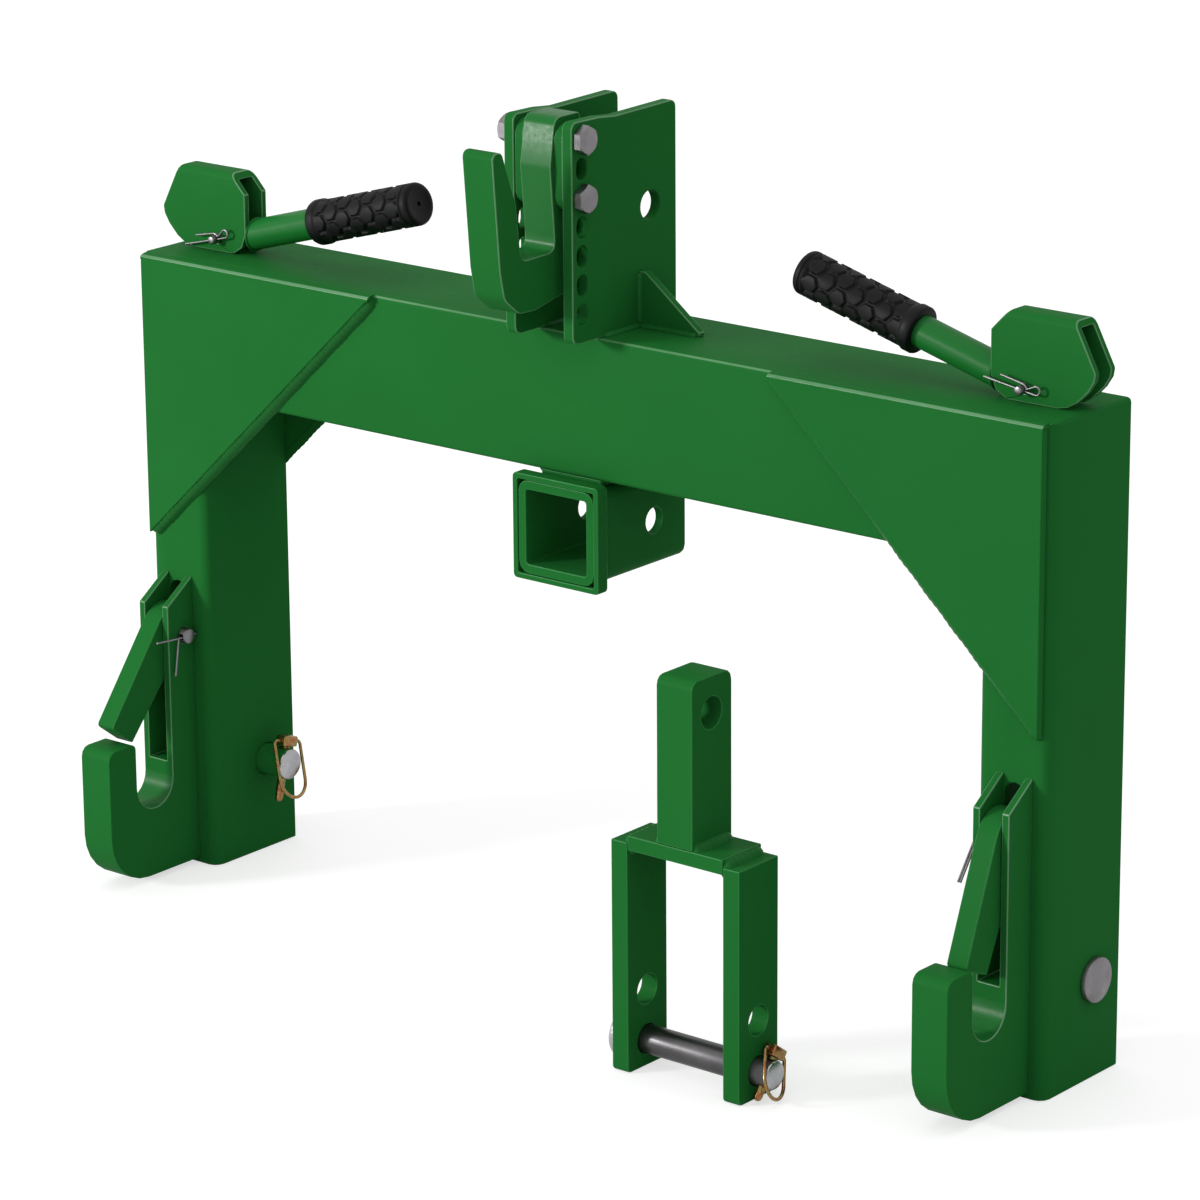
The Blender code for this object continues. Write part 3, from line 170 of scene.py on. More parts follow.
# Bolts and nuts of the top hook
BOLT_FLATS = 0.017
BOLT_RADIUS = 0.005
WASHER = 0.0008
WASHER_RADIUS = 0.0083
THREAD_PITCH = 0.0015
THREAD_DEPTH = 0.0007
THREAD_END = 0.0115
THREAD_TIP = 0.0006
HEX_CHAMFER_DEG = 30
HEX_CHAMFER_SHARE = 0.98
HEX_CLEAR = 0.0002
HEX_OUTSIDE = 1.1

# Edges and shading
EDGE_BREAK = 0.0007
FINE_EDGE = 0.0004
ROD_EDGE = 0.0003
SMOOTH_DEG = 38.0
PIN_SMOOTH_DEG = 30.0
LYNCH_SMOOTH_DEG = 35.0
BOLT_SMOOTH_DEG = 25.0
GRIP_SMOOTH_DEG = 45.0
WIRE_SMOOTH_DEG = 50.0
WELD_SMOOTH_DEG = 60.0
CAP_SMOOTH_DEG = 30.0
FLAT_DEG = 1.0
MERGE = 0.00001

# Facets round each kind of piece
PIN_SIDES = 72
CONE_SIDES = 48
LYNCH_SIDES = 40
BORE_SIDES = 32
RING_BORE_SIDES = 24
RING_SIDES = 14
WIRE_SIDES = 12
SPRING_SIDES = 10
BEAD_SIDES = 8

# Where the edges get the painted highlight, and where the coat is polished
RIDGE_COS = 0.966
RIDGE_BAND = 0.01
CAP_RIDGE_COS = 0.93
PLATE_RIM = 0.0035
BOWL_END = 0.012
BOWL_HEIGHT = 0.045
TOP_SLOT_BACK = 0.019
TOP_SLOT_FLOOR = 0.03
SIDEWAYS = 0.2

# Welds
WELD_LEG = 0.0055
SMALL_WELD = 0.0022
RECEIVER_WELD = 0.0034
RECEIVER_WELD_STOP = 0.006
ADAPTER_WELD = 0.0042
ADAPTER_TOP_WELD = 0.0046
MAST_WELD_START = 0.004
WELD_STOP = 0.002
SHORT_STOP = 0.001
WELD_STEP = 0.0016
WELD_FEWEST = 6
WELD_FACES = 6
WELD_BULGE = 0.16
WELD_END_SHARE = 0.15
# The bead's ripples: height, turn at each step, and turn for each unit of the seed
WELD_RIPPLES = ((0.035, 1.9, 1.0), (0.03, 0.37, 2.1))
CAP_STEPS = 12
CAP_PROUD = 0.00006
CAP_CROWN = 0.00008
CAP_REACH = 0.0014
CAP_DEPTH = 0.001
LEVER_BEAD = 0.0009
LEVER_BEAD_PROUD = 0.0004
LEVER_BEAD_LEVEL = 0.0135
LEVER_BEAD_RING = (0.0108, 0.0112)
LEVER_BEAD_STEPS = 24

# Stage, light and camera
FLOOR_REACH = 14.0
FLOOR_DROP = 0.0002
FLOOR_GREY = 0.56
FLOOR_LIFT = 0.63
MIRRORED_SHARE = 0.5
SKY_AT_HORIZON = 0.38
SKY_AT_TOP = 1.05
KEY_PLACE = (-2.65, -3.55, 1.45)
KEY_AIM = (0, 0, 0.28)
KEY_SIZE = (0.7, 0.7)
KEY_POWER = 123
CAMERA_PLACE = (2.0722, FRONT - 2.5059, 1.2479)
CAMERA_YAW = math.radians(39.233)
CAMERA_PITCH = math.radians(16.921)
CAMERA_ROLL = math.radians(0.431)
FOCAL_PIXELS = 5175.8
FRAME_PIXELS = 1200
SENSOR = 36.0


def side_name(side):
    return "left" if side < 0 else "right"


def middle(name):
    """The middle of a node's box."""
    low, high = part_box(name)
    return (low + high) / 2


def face_x(name, side):
    """Where a node's box ends along X, on one side."""
    low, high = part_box(name)
    return high.x if side > 0 else low.x


# Nodes for materials


def new_material(name):
    material = bpy.data.materials.new(name)
    material.use_nodes = True
    tree = material.node_tree
    return material, tree, tree.nodes["Principled BSDF"]


def node(tree, kind, **values):
    made = tree.nodes.new(kind)
    for key, value in values.items():
        setattr(made, key, value)
    return made


def noise(tree, coords, scale, detail, rough):
    made = node(tree, "ShaderNodeTexNoise")
    made.inputs["Scale"].default_value = scale
    made.inputs["Detail"].default_value = detail
    made.inputs["Roughness"].default_value = rough
    tree.links.new(coords, made.inputs["Vector"])
    return made.outputs["Fac"]


def ramp(tree, value, stops):
    made = node(tree, "ShaderNodeValToRGB")
    elements = made.color_ramp.elements
    while len(elements) < len(stops):
        elements.new(0.5)
    for element, (place, colour) in zip(elements, stops):
        element.position = place
        element.color = (*colour, 1.0)
    tree.links.new(value, made.inputs["Fac"])
    return made.outputs["Color"]


def mapped(tree, value, low, high, start=0.0, stop=1.0):
    """A value that goes from low to high while the given one goes from start to stop."""
    made = node(tree, "ShaderNodeMapRange")
    made.inputs["From Min"].default_value = start
    made.inputs["From Max"].default_value = stop
    made.inputs["To Min"].default_value = low
    made.inputs["To Max"].default_value = high
    tree.links.new(value, made.inputs["Value"])
    return made.outputs["Result"]


def bumped(tree, layers):
    """Stack bump layers of (height, strength, distance)."""
    normal = None
    for height, strength, distance in layers:
        made = node(tree, "ShaderNodeBump")
        made.inputs["Strength"].default_value = strength
        made.inputs["Distance"].default_value = distance
        tree.links.new(height, made.inputs["Height"])
        if normal is not None:
            tree.links.new(normal, made.inputs["Normal"])
        normal = made.outputs["Normal"]
    return normal


def object_coords(tree):
    return node(tree, "ShaderNodeTexCoord").outputs["Object"]


def paint(name, stops, roughness=(0.41, 0.46), gloss=0.014):
    """Powder coat: cloudy colour, fine orange peel and a low sheen."""
    material, tree, surface = new_material(name)
    place = object_coords(tree)
    cloud = noise(tree, place, scale=9.0, detail=5.0, rough=0.6)
    tree.links.new(ramp(tree, cloud, stops), surface.inputs["Base Color"])
    speck = noise(tree, place, scale=260.0, detail=3.0, rough=0.6)
    tree.links.new(mapped(tree, speck, *roughness, start=0.35, stop=0.65), surface.inputs["Roughness"])
    peel = noise(tree, place, scale=620.0, detail=2.0, rough=0.5)
    sag = noise(tree, place, scale=24.0, detail=2.0, rough=0.4)
    normal = bumped(tree, [(sag, 0.006, 0.001), (peel, 0.02, 0.0001)])
    tree.links.new(normal, surface.inputs["Normal"])
    surface.inputs["Specular IOR Level"].default_value = gloss
    return material


def metal(name, stops, roughness, scale, brush=(1.0, 1.0, 1.0), grain=0.08):
    """Plated or bare metal with a grain that runs along the axis with the smallest brush value."""
    material, tree, surface = new_material(name)
    place = object_coords(tree)
    stretch = node(tree, "ShaderNodeMapping")
    stretch.inputs["Scale"].default_value = brush
    tree.links.new(place, stretch.inputs["Vector"])
    cloud = noise(tree, place, scale, detail=4.0, rough=0.6)
    tree.links.new(ramp(tree, cloud, stops), surface.inputs["Base Color"])
    lines = noise(tree, stretch.outputs["Vector"], scale=900.0, detail=3.0, rough=0.6)
    tree.links.new(mapped(tree, lines, *roughness, start=0.3, stop=0.7), surface.inputs["Roughness"])
    tree.links.new(bumped(tree, [(lines, grain, 0.0002)]), surface.inputs["Normal"])
    surface.inputs["Metallic"].default_value = 1.0
    return material


def rubber(name, stops, roughness, gloss):
    """Matt moulded rubber with some dust and fine pores."""
    material, tree, surface = new_material(name)
    place = object_coords(tree)
    dust = noise(tree, place, scale=60.0, detail=5.0, rough=0.65)
    tree.links.new(ramp(tree, dust, stops), surface.inputs["Base Color"])
    pores = noise(tree, place, scale=1500.0, detail=2.0, rough=0.5)
    tree.links.new(mapped(tree, dust, *roughness, start=0.3, stop=0.7), surface.inputs["Roughness"])
    tree.links.new(bumped(tree, [(pores, 0.12, 0.0002)]), surface.inputs["Normal"])
    surface.inputs["Specular IOR Level"].default_value = gloss
    return material


GREEN = paint("green_powder_coat", [
    (0.25, (0.0150, 0.157, 0.0282)), (0.55, (0.0164, 0.166, 0.0305)), (0.85, (0.0180, 0.175, 0.0330))])
# Pale green for broken edges: a painted highlight where light catches them
EDGE_HIGHLIGHT = paint("green_painted_edge_highlight", [
    (0.30, (0.060, 0.240, 0.078)), (0.60, (0.120, 0.310, 0.140)), (0.85, (0.210, 0.400, 0.230))],
    roughness=(0.28, 0.40), gloss=0.4)
# Slightly lighter green for broken edges: a fainter painted highlight
SOFT_EDGE_HIGHLIGHT = paint("green_soft_edge_highlight", [
    (0.30, (0.013, 0.185, 0.032)), (0.60, (0.022, 0.212, 0.045)), (0.85, (0.035, 0.240, 0.060))],
    roughness=(0.32, 0.44), gloss=0.2)
WELD = paint("green_over_weld", [
    (0.25, (0.0145, 0.155, 0.0275)), (0.60, (0.0160, 0.165, 0.0300)), (0.85, (0.0165, 0.178, 0.0325))],
    roughness=(0.36, 0.46), gloss=0.10)
POLISHED = paint("green_polished_coat", [
    (0.25, (0.0100, 0.155, 0.0240)), (0.55, (0.0110, 0.164, 0.0262)), (0.85, (0.0130, 0.173, 0.0290))],
    roughness=(0.30, 0.38), gloss=0.17)
STEEL = metal("zinc_plate", [
    (0.30, (0.225, 0.215, 0.225)), (0.60, (0.300, 0.285, 0.298)), (0.85, (0.400, 0.385, 0.398))],
    roughness=(0.30, 0.46), scale=70.0)
BRIGHT = metal("turned_steel", [
    (0.30, (0.44, 0.44, 0.46)), (0.60, (0.56, 0.56, 0.58)), (0.85, (0.68, 0.68, 0.70))],
    roughness=(0.20, 0.34), scale=60.0, brush=(0.05, 1.0, 1.0), grain=0.12)
SHAFT = metal("drawn_steel", [
    (0.30, (0.100, 0.096, 0.099)), (0.60, (0.140, 0.135, 0.139)), (0.85, (0.190, 0.185, 0.189))],
    roughness=(0.28, 0.42), scale=45.0, brush=(0.03, 1.0, 1.0), grain=0.14)
YELLOW = metal("yellow_zinc", [
    (0.30, (0.250, 0.080, 0.040)), (0.42, (0.400, 0.170, 0.070)), (0.54, (0.400, 0.280, 0.100)),
    (0.66, (0.200, 0.230, 0.085)), (0.80, (0.420, 0.160, 0.095))],
    roughness=(0.22, 0.38), scale=210.0)
OILED = metal("oiled_spring_steel", [
    (0.30, (0.10, 0.10, 0.11)), (0.80, (0.20, 0.19, 0.20))],
    roughness=(0.28, 0.45), scale=120.0)
RUBBER = rubber("moulded_rubber", [
    (0.30, (0.0030, 0.0030, 0.0032)), (0.62, (0.0048, 0.0048, 0.0052)), (0.85, (0.0085, 0.0085, 0.0087))],
    roughness=(0.42, 0.62), gloss=0.18)


# Meshes


def to_object(shape, name):
    mesh = bpy.data.meshes.new(name)
    shape.to_mesh(mesh)
    shape.free()
    thing = bpy.data.objects.new(name, mesh)
    bpy.context.scene.collection.objects.link(thing)
    return thing


def from_bmesh(shape, name):
    bmesh.ops.recalc_face_normals(shape, faces=shape.faces)
    return to_object(shape, name)


def smooth(thing, degrees=SMOOTH_DEG):
    thing.data.shade_smooth()
    thing.data.set_sharp_from_angle(angle=math.radians(degrees))
    return thing


def plain(thing):
    """Drop normals that were stored for the old corners."""
    stored = thing.data.attributes.get("custom_normal")
    if stored:
        thing.data.attributes.remove(stored)
    return thing


def apply(thing, modifier):
    graph = bpy.context.evaluated_depsgraph_get()
    graph.update()
    result = bpy.data.meshes.new_from_object(thing.evaluated_get(graph))
    old = thing.data
    thing.modifiers.remove(modifier)
    thing.data = result
    bpy.data.meshes.remove(old)


def combine(body, tool, kind):
    """A Boolean of two solids, which uses up the tool."""
    step = body.modifiers.new("step", "BOOLEAN")
    step.operation = kind
    step.solver = "EXACT"
    step.object = tool
    apply(body, step)
    bpy.data.objects.remove(tool, do_unlink=True)


def make_whole(shape, merge=MERGE):
    """Weld doubled corners, and dissolve the edges inside flat faces."""
    bmesh.ops.remove_doubles(shape, verts=shape.verts, dist=merge)
    bmesh.ops.dissolve_limit(shape, angle_limit=math.radians(FLAT_DEG), verts=shape.verts, edges=shape.edges)


def clean_copy(name, suffix="_skin"):
    """A welded copy of a CAD node, with its flat faces made whole."""
    shape = bmesh.new()
    shape.from_mesh(frame["nodes"][name].data)
    make_whole(shape)
    return plain(from_bmesh(shape, name + suffix))


def break_edges(thing, width, segments=2, edge_slot=1):
    """Break the sharp edges, and give the broken edges the finish of a slot."""
    thing.data.shade_smooth()
    bevel = thing.modifiers.new("edge", "BEVEL")
    bevel.width = width
    bevel.segments = segments
    bevel.limit_method = "ANGLE"
    bevel.angle_limit = math.radians(SMOOTH_DEG)
    bevel.use_clamp_overlap = False
    bevel.miter_outer = "MITER_ARC"
    bevel.material = edge_slot
    bevel.harden_normals = True
    apply(thing, bevel)


def coat(thing, materials):
    """Give a piece its materials. All its faces go back to the first one."""
    thing.data.materials.clear()
    for material in materials:
        thing.data.materials.append(material)


def place_on(thing, body, nodes):
    """Let a piece ride on its body, in place of its nodes."""
    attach(thing, body)
    if nodes:
        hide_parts(*nodes)


def finish(thing, body, nodes, materials):
    coat(thing, materials)
    place_on(thing, body, nodes)


def body_of(name):
    return frame["nodes"][name]["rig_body"]


def circle(shape, centre, right, up, radius, sides, turn=0.0):
    """A ring of corners about a centre, in the plane of two unit vectors."""
    angles = [2 * math.pi * k / sides + turn for k in range(sides)]
    return [shape.verts.new(centre + (right * math.cos(angle) + up * math.sin(angle)) * radius)
            for angle in angles]


def bridge(shape, rings, loop=False, caps=(0, -1)):
    """Skin each pair of neighbouring rings. A loop joins the last to the first; otherwise caps are closed."""
    pairs = list(zip(rings, rings[1:]))
    if loop:
        pairs.append((rings[-1], rings[0]))
    for here, there in pairs:
        for k in range(len(here)):
            n = (k + 1) % len(here)
            shape.faces.new((here[k], here[n], there[n], there[k]))
    if not loop:
        for end in caps:
            shape.faces.new(rings[end])


def sweep(path, radius, sides, name, closed=False):
    """A round wire along a path, with no twist where a closed path meets itself."""
    path = [Vector(p) for p in path]
    count = len(path)
    tangents = []
    for i in range(count):
        if closed:
            step = path[(i + 1) % count] - path[i - 1]
        else:
            step = path[min(i + 1, count - 1)] - path[max(i - 1, 0)]
        tangents.append(step.normalized())
    normal = tangents[0].orthogonal().normalized()
    frames = []
    for i in range(count):
        if i:
            normal = tangents[i - 1].rotation_difference(tangents[i]) @ normal
        normal = (normal - tangents[i] * normal.dot(tangents[i])).normalized()
        frames.append(normal.copy())
    twist = 0.0
    if closed:
        last = tangents[-1].rotation_difference(tangents[0]) @ frames[-1]
        twist = math.atan2(tangents[0].dot(last.cross(frames[0])), last.dot(frames[0]))
    shape = bmesh.new()
    rings = [circle(shape, path[i], frames[i], tangents[i].cross(frames[i]), radius, sides, twist * i / count)
             for i in range(count)]
    bridge(shape, rings, closed)
    return smooth(from_bmesh(shape, name), WIRE_SMOOTH_DEG)


def turned(start, axis, profile, sides, name, hollow=False, degrees=SMOOTH_DEG):
    """A turned piece; its profile is a list of (distance along the axis, radius)."""
    axis = Vector(axis).normalized()
    normal = axis.orthogonal().normalized()
    side = axis.cross(normal)
    shape = bmesh.new()
    rings = [circle(shape, Vector(start) + axis * along, normal, side, radius, sides)
             for along, radius in profile]
    bridge(shape, rings, hollow)
    return smooth(from_bmesh(shape, name), degrees)


def cylinder(start, axis, length, radius, sides, name):
    return turned(start, axis, [(0, radius), (length, radius)], sides, name)


def block(low, high, name):
    shape = bmesh.new()
    bmesh.ops.create_cube(shape, size=1.0)
    for vert in shape.verts:
        vert.co = Vector([low[i] if vert.co[i] < 0 else high[i] for i in range(3)])
    return from_bmesh(shape, name)


def arc(centre, radius, start_deg, stop_deg, steps):
    """Points on an arc in a plane, with both its ends."""
    points = []
    for k in range(steps + 1):
        turn = math.radians(start_deg + (stop_deg - start_deg) * k / steps)
        points.append((centre[0] + radius * math.cos(turn), centre[1] + radius * math.sin(turn)))
    return points


def paint_lit_edge_highlight(thing, cosine, above=0.0):
    """Paint a highlight on faces above a height that look up and forward, towards the light: they get the
    second material, and the rest the first.
    """
    lit = Vector((0, -1, 1)).normalized()
    for face in thing.data.polygons:
        highlighted = face.normal.dot(lit) > cosine and face.center.z > above
        face.material_index = 1 if highlighted else 0


# Plates, sections and rods


def painted(name, edge=EDGE_HIGHLIGHT, highlight_where=None, polished=None):
    """A painted piece made from its CAD node.

    Its broken edges get the edge material, a painted highlight, only where the edge test says so if that is
    given. Faces that don't look sideways are polished where polished says so.
    """
    thing = clean_copy(name)
    coat(thing, [GREEN, edge])
    break_edges(thing, EDGE_BREAK)
    # Broken edges outside the test lose the painted highlight and take the coat's colour
    if highlight_where:
        for face in thing.data.polygons:
            if face.material_index and not highlight_where(face.center):
                face.material_index = 0
    if polished:
        thing.data.materials.append(POLISHED)
        for face in thing.data.polygons:
            if not face.material_index and abs(face.normal.x) < SIDEWAYS and polished(face.center):
                face.material_index = 2
    place_on(thing, body_of(name), (name,))


def plated(name, material, width):
    thing = clean_copy(name)
    coat(thing, [material])
    break_edges(thing, width, edge_slot=0)
    place_on(thing, body_of(name), (name,))


def nowhere(spot):
    return False


def near_outline(name):
    """A test for places near the outline of a plate that faces along X."""
    low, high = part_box(name)

    def test(spot):
        return min(spot.y - low.y, high.y - spot.y, spot.z - low.z, high.z - spot.z) < PLATE_RIM
    return test


def in_throat(spot):
    """True on the lower hooks' throats and cheeks, where the broken edges keep the painted highlight."""
    return spot.y > FRONT - THROAT_FRONT and spot.z > THROAT_FLOOR


def in_bowl(spot):
    """True on the curved floor of a lower hook's throat."""
    return (FRONT - THROAT_FRONT < spot.y < FRONT - BOWL_END
            and THROAT_FLOOR < spot.z < THROAT_FLOOR + BOWL_HEIGHT)


def in_top_slot(spot):
    """True on the faces inside the top hook's J."""
    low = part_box("top_hook")[0]
    return spot.y > low.y + TOP_SLOT_BACK and spot.z > low.z + TOP_SLOT_FLOOR


def frame_shell():
    """Beam and legs as one welded piece, with the joints ground flush."""
    beam = clean_copy("crossbeam", "_copy")
    low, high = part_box("crossbeam")
    reach = (high.x - low.x) / 2
    beam.data.transform(Matrix.Diagonal(((reach + 2 * GAP) / reach, 1, 1, 1)))
    for name in ("left_leg", "right_leg"):
        combine(beam, clean_copy(name, "_copy"), "UNION")
    shape = bmesh.new()
    shape.from_mesh(beam.data)
    make_whole(shape, 2 * MERGE)
    bpy.data.objects.remove(beam, do_unlink=True)
    shell = plain(from_bmesh(shape, "frame_shell"))
    coat(shell, [GREEN, EDGE_HIGHLIGHT])
    break_edges(shell, EDGE_BREAK)
    # Painted highlight: only the beam's front top ridge, which looks up and forward, keeps the pale edge
    # colour
    paint_lit_edge_highlight(shell, RIDGE_COS, TOP - RIDGE_BAND)
    place_on(shell, "frame", ("crossbeam", "left_leg", "right_leg"))


# Pins


def rounded_pin(begin, axis, head, radius, total, name):
    """A pin with broken corners at full roundness, headed where its head is wider than its shank."""
    wide, thick = head
    soft = PIN_CHAMFER
    if wide > radius:
        profile = [(0, wide - soft), (soft * PIN_ROUND, wide - soft * PIN_ROUND), (soft, wide),
                   (thick - FINE_EDGE, wide), (thick, wide - FINE_EDGE), (thick, radius)]
    else:
        profile = [(0, radius - soft), (soft, radius)]
    profile += [(total - soft, radius), (total - soft * PIN_ROUND, radius - soft * PIN_END_ROUND),
                (total, radius - soft)]
    return turned(begin, axis, profile, PIN_SIDES, name + "_turned", degrees=PIN_SMOOTH_DEG)


def drilled(pin, place, way, radius, name):
    """Bore a pin through at a place, along a unit vector."""
    reach = 0.02
    start = Vector(place) - Vector(way) * reach
    combine(pin, cylinder(start, way, 2 * reach, radius, BORE_SIDES, name + "_drill"), "DIFFERENCE")
    return smooth(pin, PIN_SMOOTH_DEG)


def cross_pin(name, side, head, radius, held_by, way, bore):
    """A pin along X with its head on one side, bored through where a lynch pin or cotter holds it."""
    low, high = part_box(name)
    centre = middle(name)
    begin = (face_x(name, side), centre.y, centre.z)
    pin = rounded_pin(begin, (-side, 0, 0), head, radius, high.x - low.x, name)
    return drilled(pin, (middle(held_by).x, centre.y, centre.z), way, bore, name)


def dress(pin, name, side, thick, head_slot):
    """Give a cross pin's head the finish of a slot, and its bare end slot 1. The shank keeps slot 0."""
    low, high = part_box(name)
    total = high.x - low.x
    begin = face_x(name, side)
    for face in pin.data.polygons:
        along = (begin - face.center.x) * side
        if along <= thick + PIN_HEAD_MARGIN:
            face.material_index = head_slot
        elif along > total - PIN_CHAMFER * PIN_END_SHARE:
            face.material_index = 1


def lynch_way(word):
    tilt = math.radians(LYNCH_TILT_DEG[word])
    return 0, math.sin(tilt), math.cos(tilt)


def turned_pins():
    lynch_bore = LYNCH_WIDE / 2 + GAP
    for side in SIDES:
        word = side_name(side)
        name = word + "_link_pin"
        pin = cross_pin(name, side, LINK_PIN_HEAD, PIN_RADIUS[word], word + "_lynch_pin",
                        lynch_way(word), lynch_bore)
        finish(pin, name, (name,), [GREEN, BRIGHT, STEEL])
        dress(pin, name, side, LINK_PIN_HEAD[1], 2)
        name = word + "_clevis_pin"
        low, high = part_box(name)
        centre = middle(name)
        tilt = math.radians(CLIP_TILT_DEG[side])
        pin = rounded_pin((centre.x, high.y, centre.z), (0, -1, 0), CLEVIS_PIN_HEAD, CLEVIS_PIN_RADIUS,
                          high.y - low.y, name)
        drilled(pin, (centre.x, middle(word + "_r_clip").y, centre.z),
                (math.cos(tilt), 0, math.sin(tilt)), CLIP_WIRE / 2 + GAP, name)
        finish(pin, name, (name,), [STEEL])
        name = word + "_latch_pin"
        pin = cross_pin(name, side, LATCH_PIN_HEAD[side], LATCH_PIN_RADIUS, word + "_cotter",
                        REAR, COTTER_BORE)
        finish(pin, body_of(name), (name,), [STEEL])
    name = "adapter_pin"
    pin = cross_pin(name, -1, ADAPTER_PIN_HEAD, PIN_RADIUS["adapter"], "adapter_lynch_pin",
                    lynch_way("adapter"), lynch_bore)
    finish(pin, name, (name,), [SHAFT, BRIGHT])
    dress(pin, name, -1, ADAPTER_PIN_HEAD[1], 1)


def lynch_pin(word):
    """A straight shank under a drilled block, tilted about the pin that it crosses; returns their centre."""
    name = word + "_lynch_pin"
    carrier = "adapter_pin" if word == "adapter" else word + "_link_pin"
    centre = middle(carrier)
    centre.x = middle(name).x
    wide, deep, tall = [size / 2 for size in LYNCH_BLOCK]
    rest = PIN_RADIUS[word] + tall + RING_WIRE / 2
    head = block(centre + Vector((-wide, -deep, rest - tall)),
                 centre + Vector((wide, deep, rest + tall)), "head")
    break_edges(head, PIN_CHAMFER, segments=3, edge_slot=0)
    plain(head)
    shank = LYNCH_WIDE / 2
    length = rest + LYNCH_BELOW[word]
    profile = [(0, shank)] + [(length - before, shank * share) for before, share in LYNCH_TIP]
    combine(head, turned(centre + Vector((0, 0, rest)), DOWN, profile, LYNCH_SIDES, "stem"), "UNION")
    drill = cylinder(centre + Vector((0, -deep * 2, rest)), REAR, deep * 4, RING_WIRE / 2 + GAP,
                     RING_BORE_SIDES, "drill")
    combine(head, drill, "DIFFERENCE")
    spin = Matrix.Rotation(-math.radians(LYNCH_TILT_DEG[word]), 4, "X")
    head.data.transform(Matrix.Translation(centre) @ spin @ Matrix.Translation(-centre))
    head.name = name + "_fine"
    finish(smooth(head, LYNCH_SMOOTH_DEG), name, (name,), [YELLOW])
    return centre


# Lever handles


def handle(side):
    """The place on the hood where its handle starts, and the handle's direction."""
    name = side_name(side) + "_lever_hood"
    low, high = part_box(name)
    root = Vector((face_x(name, -side) - side * GAP, middle(name).y,
                   low.z + (high.z - low.z) * HANDLE_SHARE))
    return root, Vector((-side * math.cos(HANDLE_TILT), 0, math.sin(HANDLE_TILT)))


def lever_tube(side):
    """A tube from the hood, cut flush with the hood's side."""
    word = side_name(side)
    name = word + "_lever_tube"
    root, axis = handle(side)
    length = TUBE_LENGTH + TUBE_RADIUS
    profile = [(0, TUBE_BORE), (length, TUBE_BORE), (length, TUBE_RADIUS), (0, TUBE_RADIUS)]
    tube = turned(root - axis * TUBE_RADIUS, axis, profile, PIN_SIDES, name + "_drawn", hollow=True)
    low, high = root - TUBE_TRIM, root + TUBE_TRIM
    if side > 0:
        low.x = root.x
    else:
        high.x = root.x
    combine(tube, block(low, high, "trim"), "DIFFERENCE")
    finish(smooth(tube, PIN_SMOOTH_DEG), word + "_lever", (name,), [POLISHED])


def groove_depth(turn, along):
    """Depth of the tread's groove at a place on the grip: the border of hexagonal pads."""
    cell = 2 * math.pi * GRIP_RADIUS / GRIP_CELLS
    around = turn * GRIP_RADIUS
    rise = cell * math.sqrt(3) / 2
    row = round(along / rise)
    nearest = []
    for r in (row - 1, row, row + 1):
        shift = 0.5 * cell if r % 2 else 0.0
        column = round((around - shift) / cell)
        for c in (column - 1, column, column + 1):
            nearest.append(math.hypot(around - shift - c * cell, along - r * rise))
    nearest.sort()
    border = (nearest[1] - nearest[0]) / 2
    slope = GRIP_GROOVE_WIDTH * GRIP_GROOVE_SLOPE
    share = min(1.0, max(0.0, 1 - (border - GRIP_GROOVE_WIDTH / 2) / slope))
    return GRIP_GROOVE * share * share * (3 - 2 * share)


def grip_profile():
    """The grip's rings before the tread is cut: flange, tread, ring groove, rounded corner and dished end."""
    profile = [(0.0, GRIP_BORE)]
    profile += [(along, GRIP_FLANGE - drop) for along, drop in GRIP_FLANGE_RINGS]
    profile += [(GRIP_FLANGE_LENGTH - before, GRIP_FLANGE - drop) for before, drop in GRIP_FLANGE_BACK]
    profile.append((GRIP_FLANGE_LENGTH, GRIP_RADIUS + GRIP_STEP))
    tread = GRIP_TREAD_END - GRIP_TREAD_START
    profile += [(GRIP_TREAD_START + tread * k / GRIP_TREAD_STEPS, GRIP_RADIUS)
                for k in range(GRIP_TREAD_STEPS + 1)]
    profile += [(GRIP_TREAD_END + along, GRIP_RADIUS - drop) for along, drop in GRIP_RING_GROOVE]
    profile += arc((GRIP_LENGTH - GRIP_CORNER, GRIP_RADIUS - GRIP_CORNER), GRIP_CORNER, 90, 0, 6)
    return profile + [(GRIP_LENGTH - before, radius) for before, radius in GRIP_END_RINGS]


def grip(side):
    word = side_name(side)
    name = word + "_lever_grip"
    root, axis = handle(side)
    start = root + axis * GRIP_START
    normal = Vector(REAR)
    across = axis.cross(normal)
    shape = bmesh.new()
    rings = []
    for along, radius in grip_profile():
        treaded = GRIP_TREAD_START <= along <= GRIP_TREAD_END and radius == GRIP_RADIUS
        edge = min(along - GRIP_TREAD_START, GRIP_TREAD_END - along) / GRIP_TREAD_FADE
        ring = []
        for k in range(GRIP_TURN_STEPS):
            angle = 2 * math.pi * k / GRIP_TURN_STEPS
            depth = groove_depth(angle, along) * min(1.0, max(0.0, edge)) if treaded else 0.0
            spot = (normal * math.cos(angle) + across * math.sin(angle)) * (radius - depth)
            ring.append(shape.verts.new(start + axis * along + spot))
        rings.append(ring)
    bridge(shape, rings, caps=(-1,))
    thing = smooth(from_bmesh(shape, name + "_moulded"), GRIP_SMOOTH_DEG)
    finish(thing, word + "_lever", (name,), [RUBBER])


# Wires


def bend(points, radius, steps=5):
    """A path through points, with its inner corners rounded."""
    path = [Vector(points[0])]
    for i in range(1, len(points) - 1):
        here = Vector(points[i])
        back = (Vector(points[i - 1]) - here).normalized()
        ahead = (Vector(points[i + 1]) - here).normalized()
        half = back.angle(ahead) / 2
        reach = radius / math.tan(half)
        centre = here + (back + ahead).normalized() * (radius / math.sin(half))
        start = here + back * reach - centre
        end = here + ahead * reach - centre
        turn = start.angle(end)
        spin = start.cross(end).normalized()
        for k in range(steps + 1):
            path.append(centre + Matrix.Rotation(turn * k / steps, 3, spin) @ start)
    path.append(Vector(points[-1]))
    return path


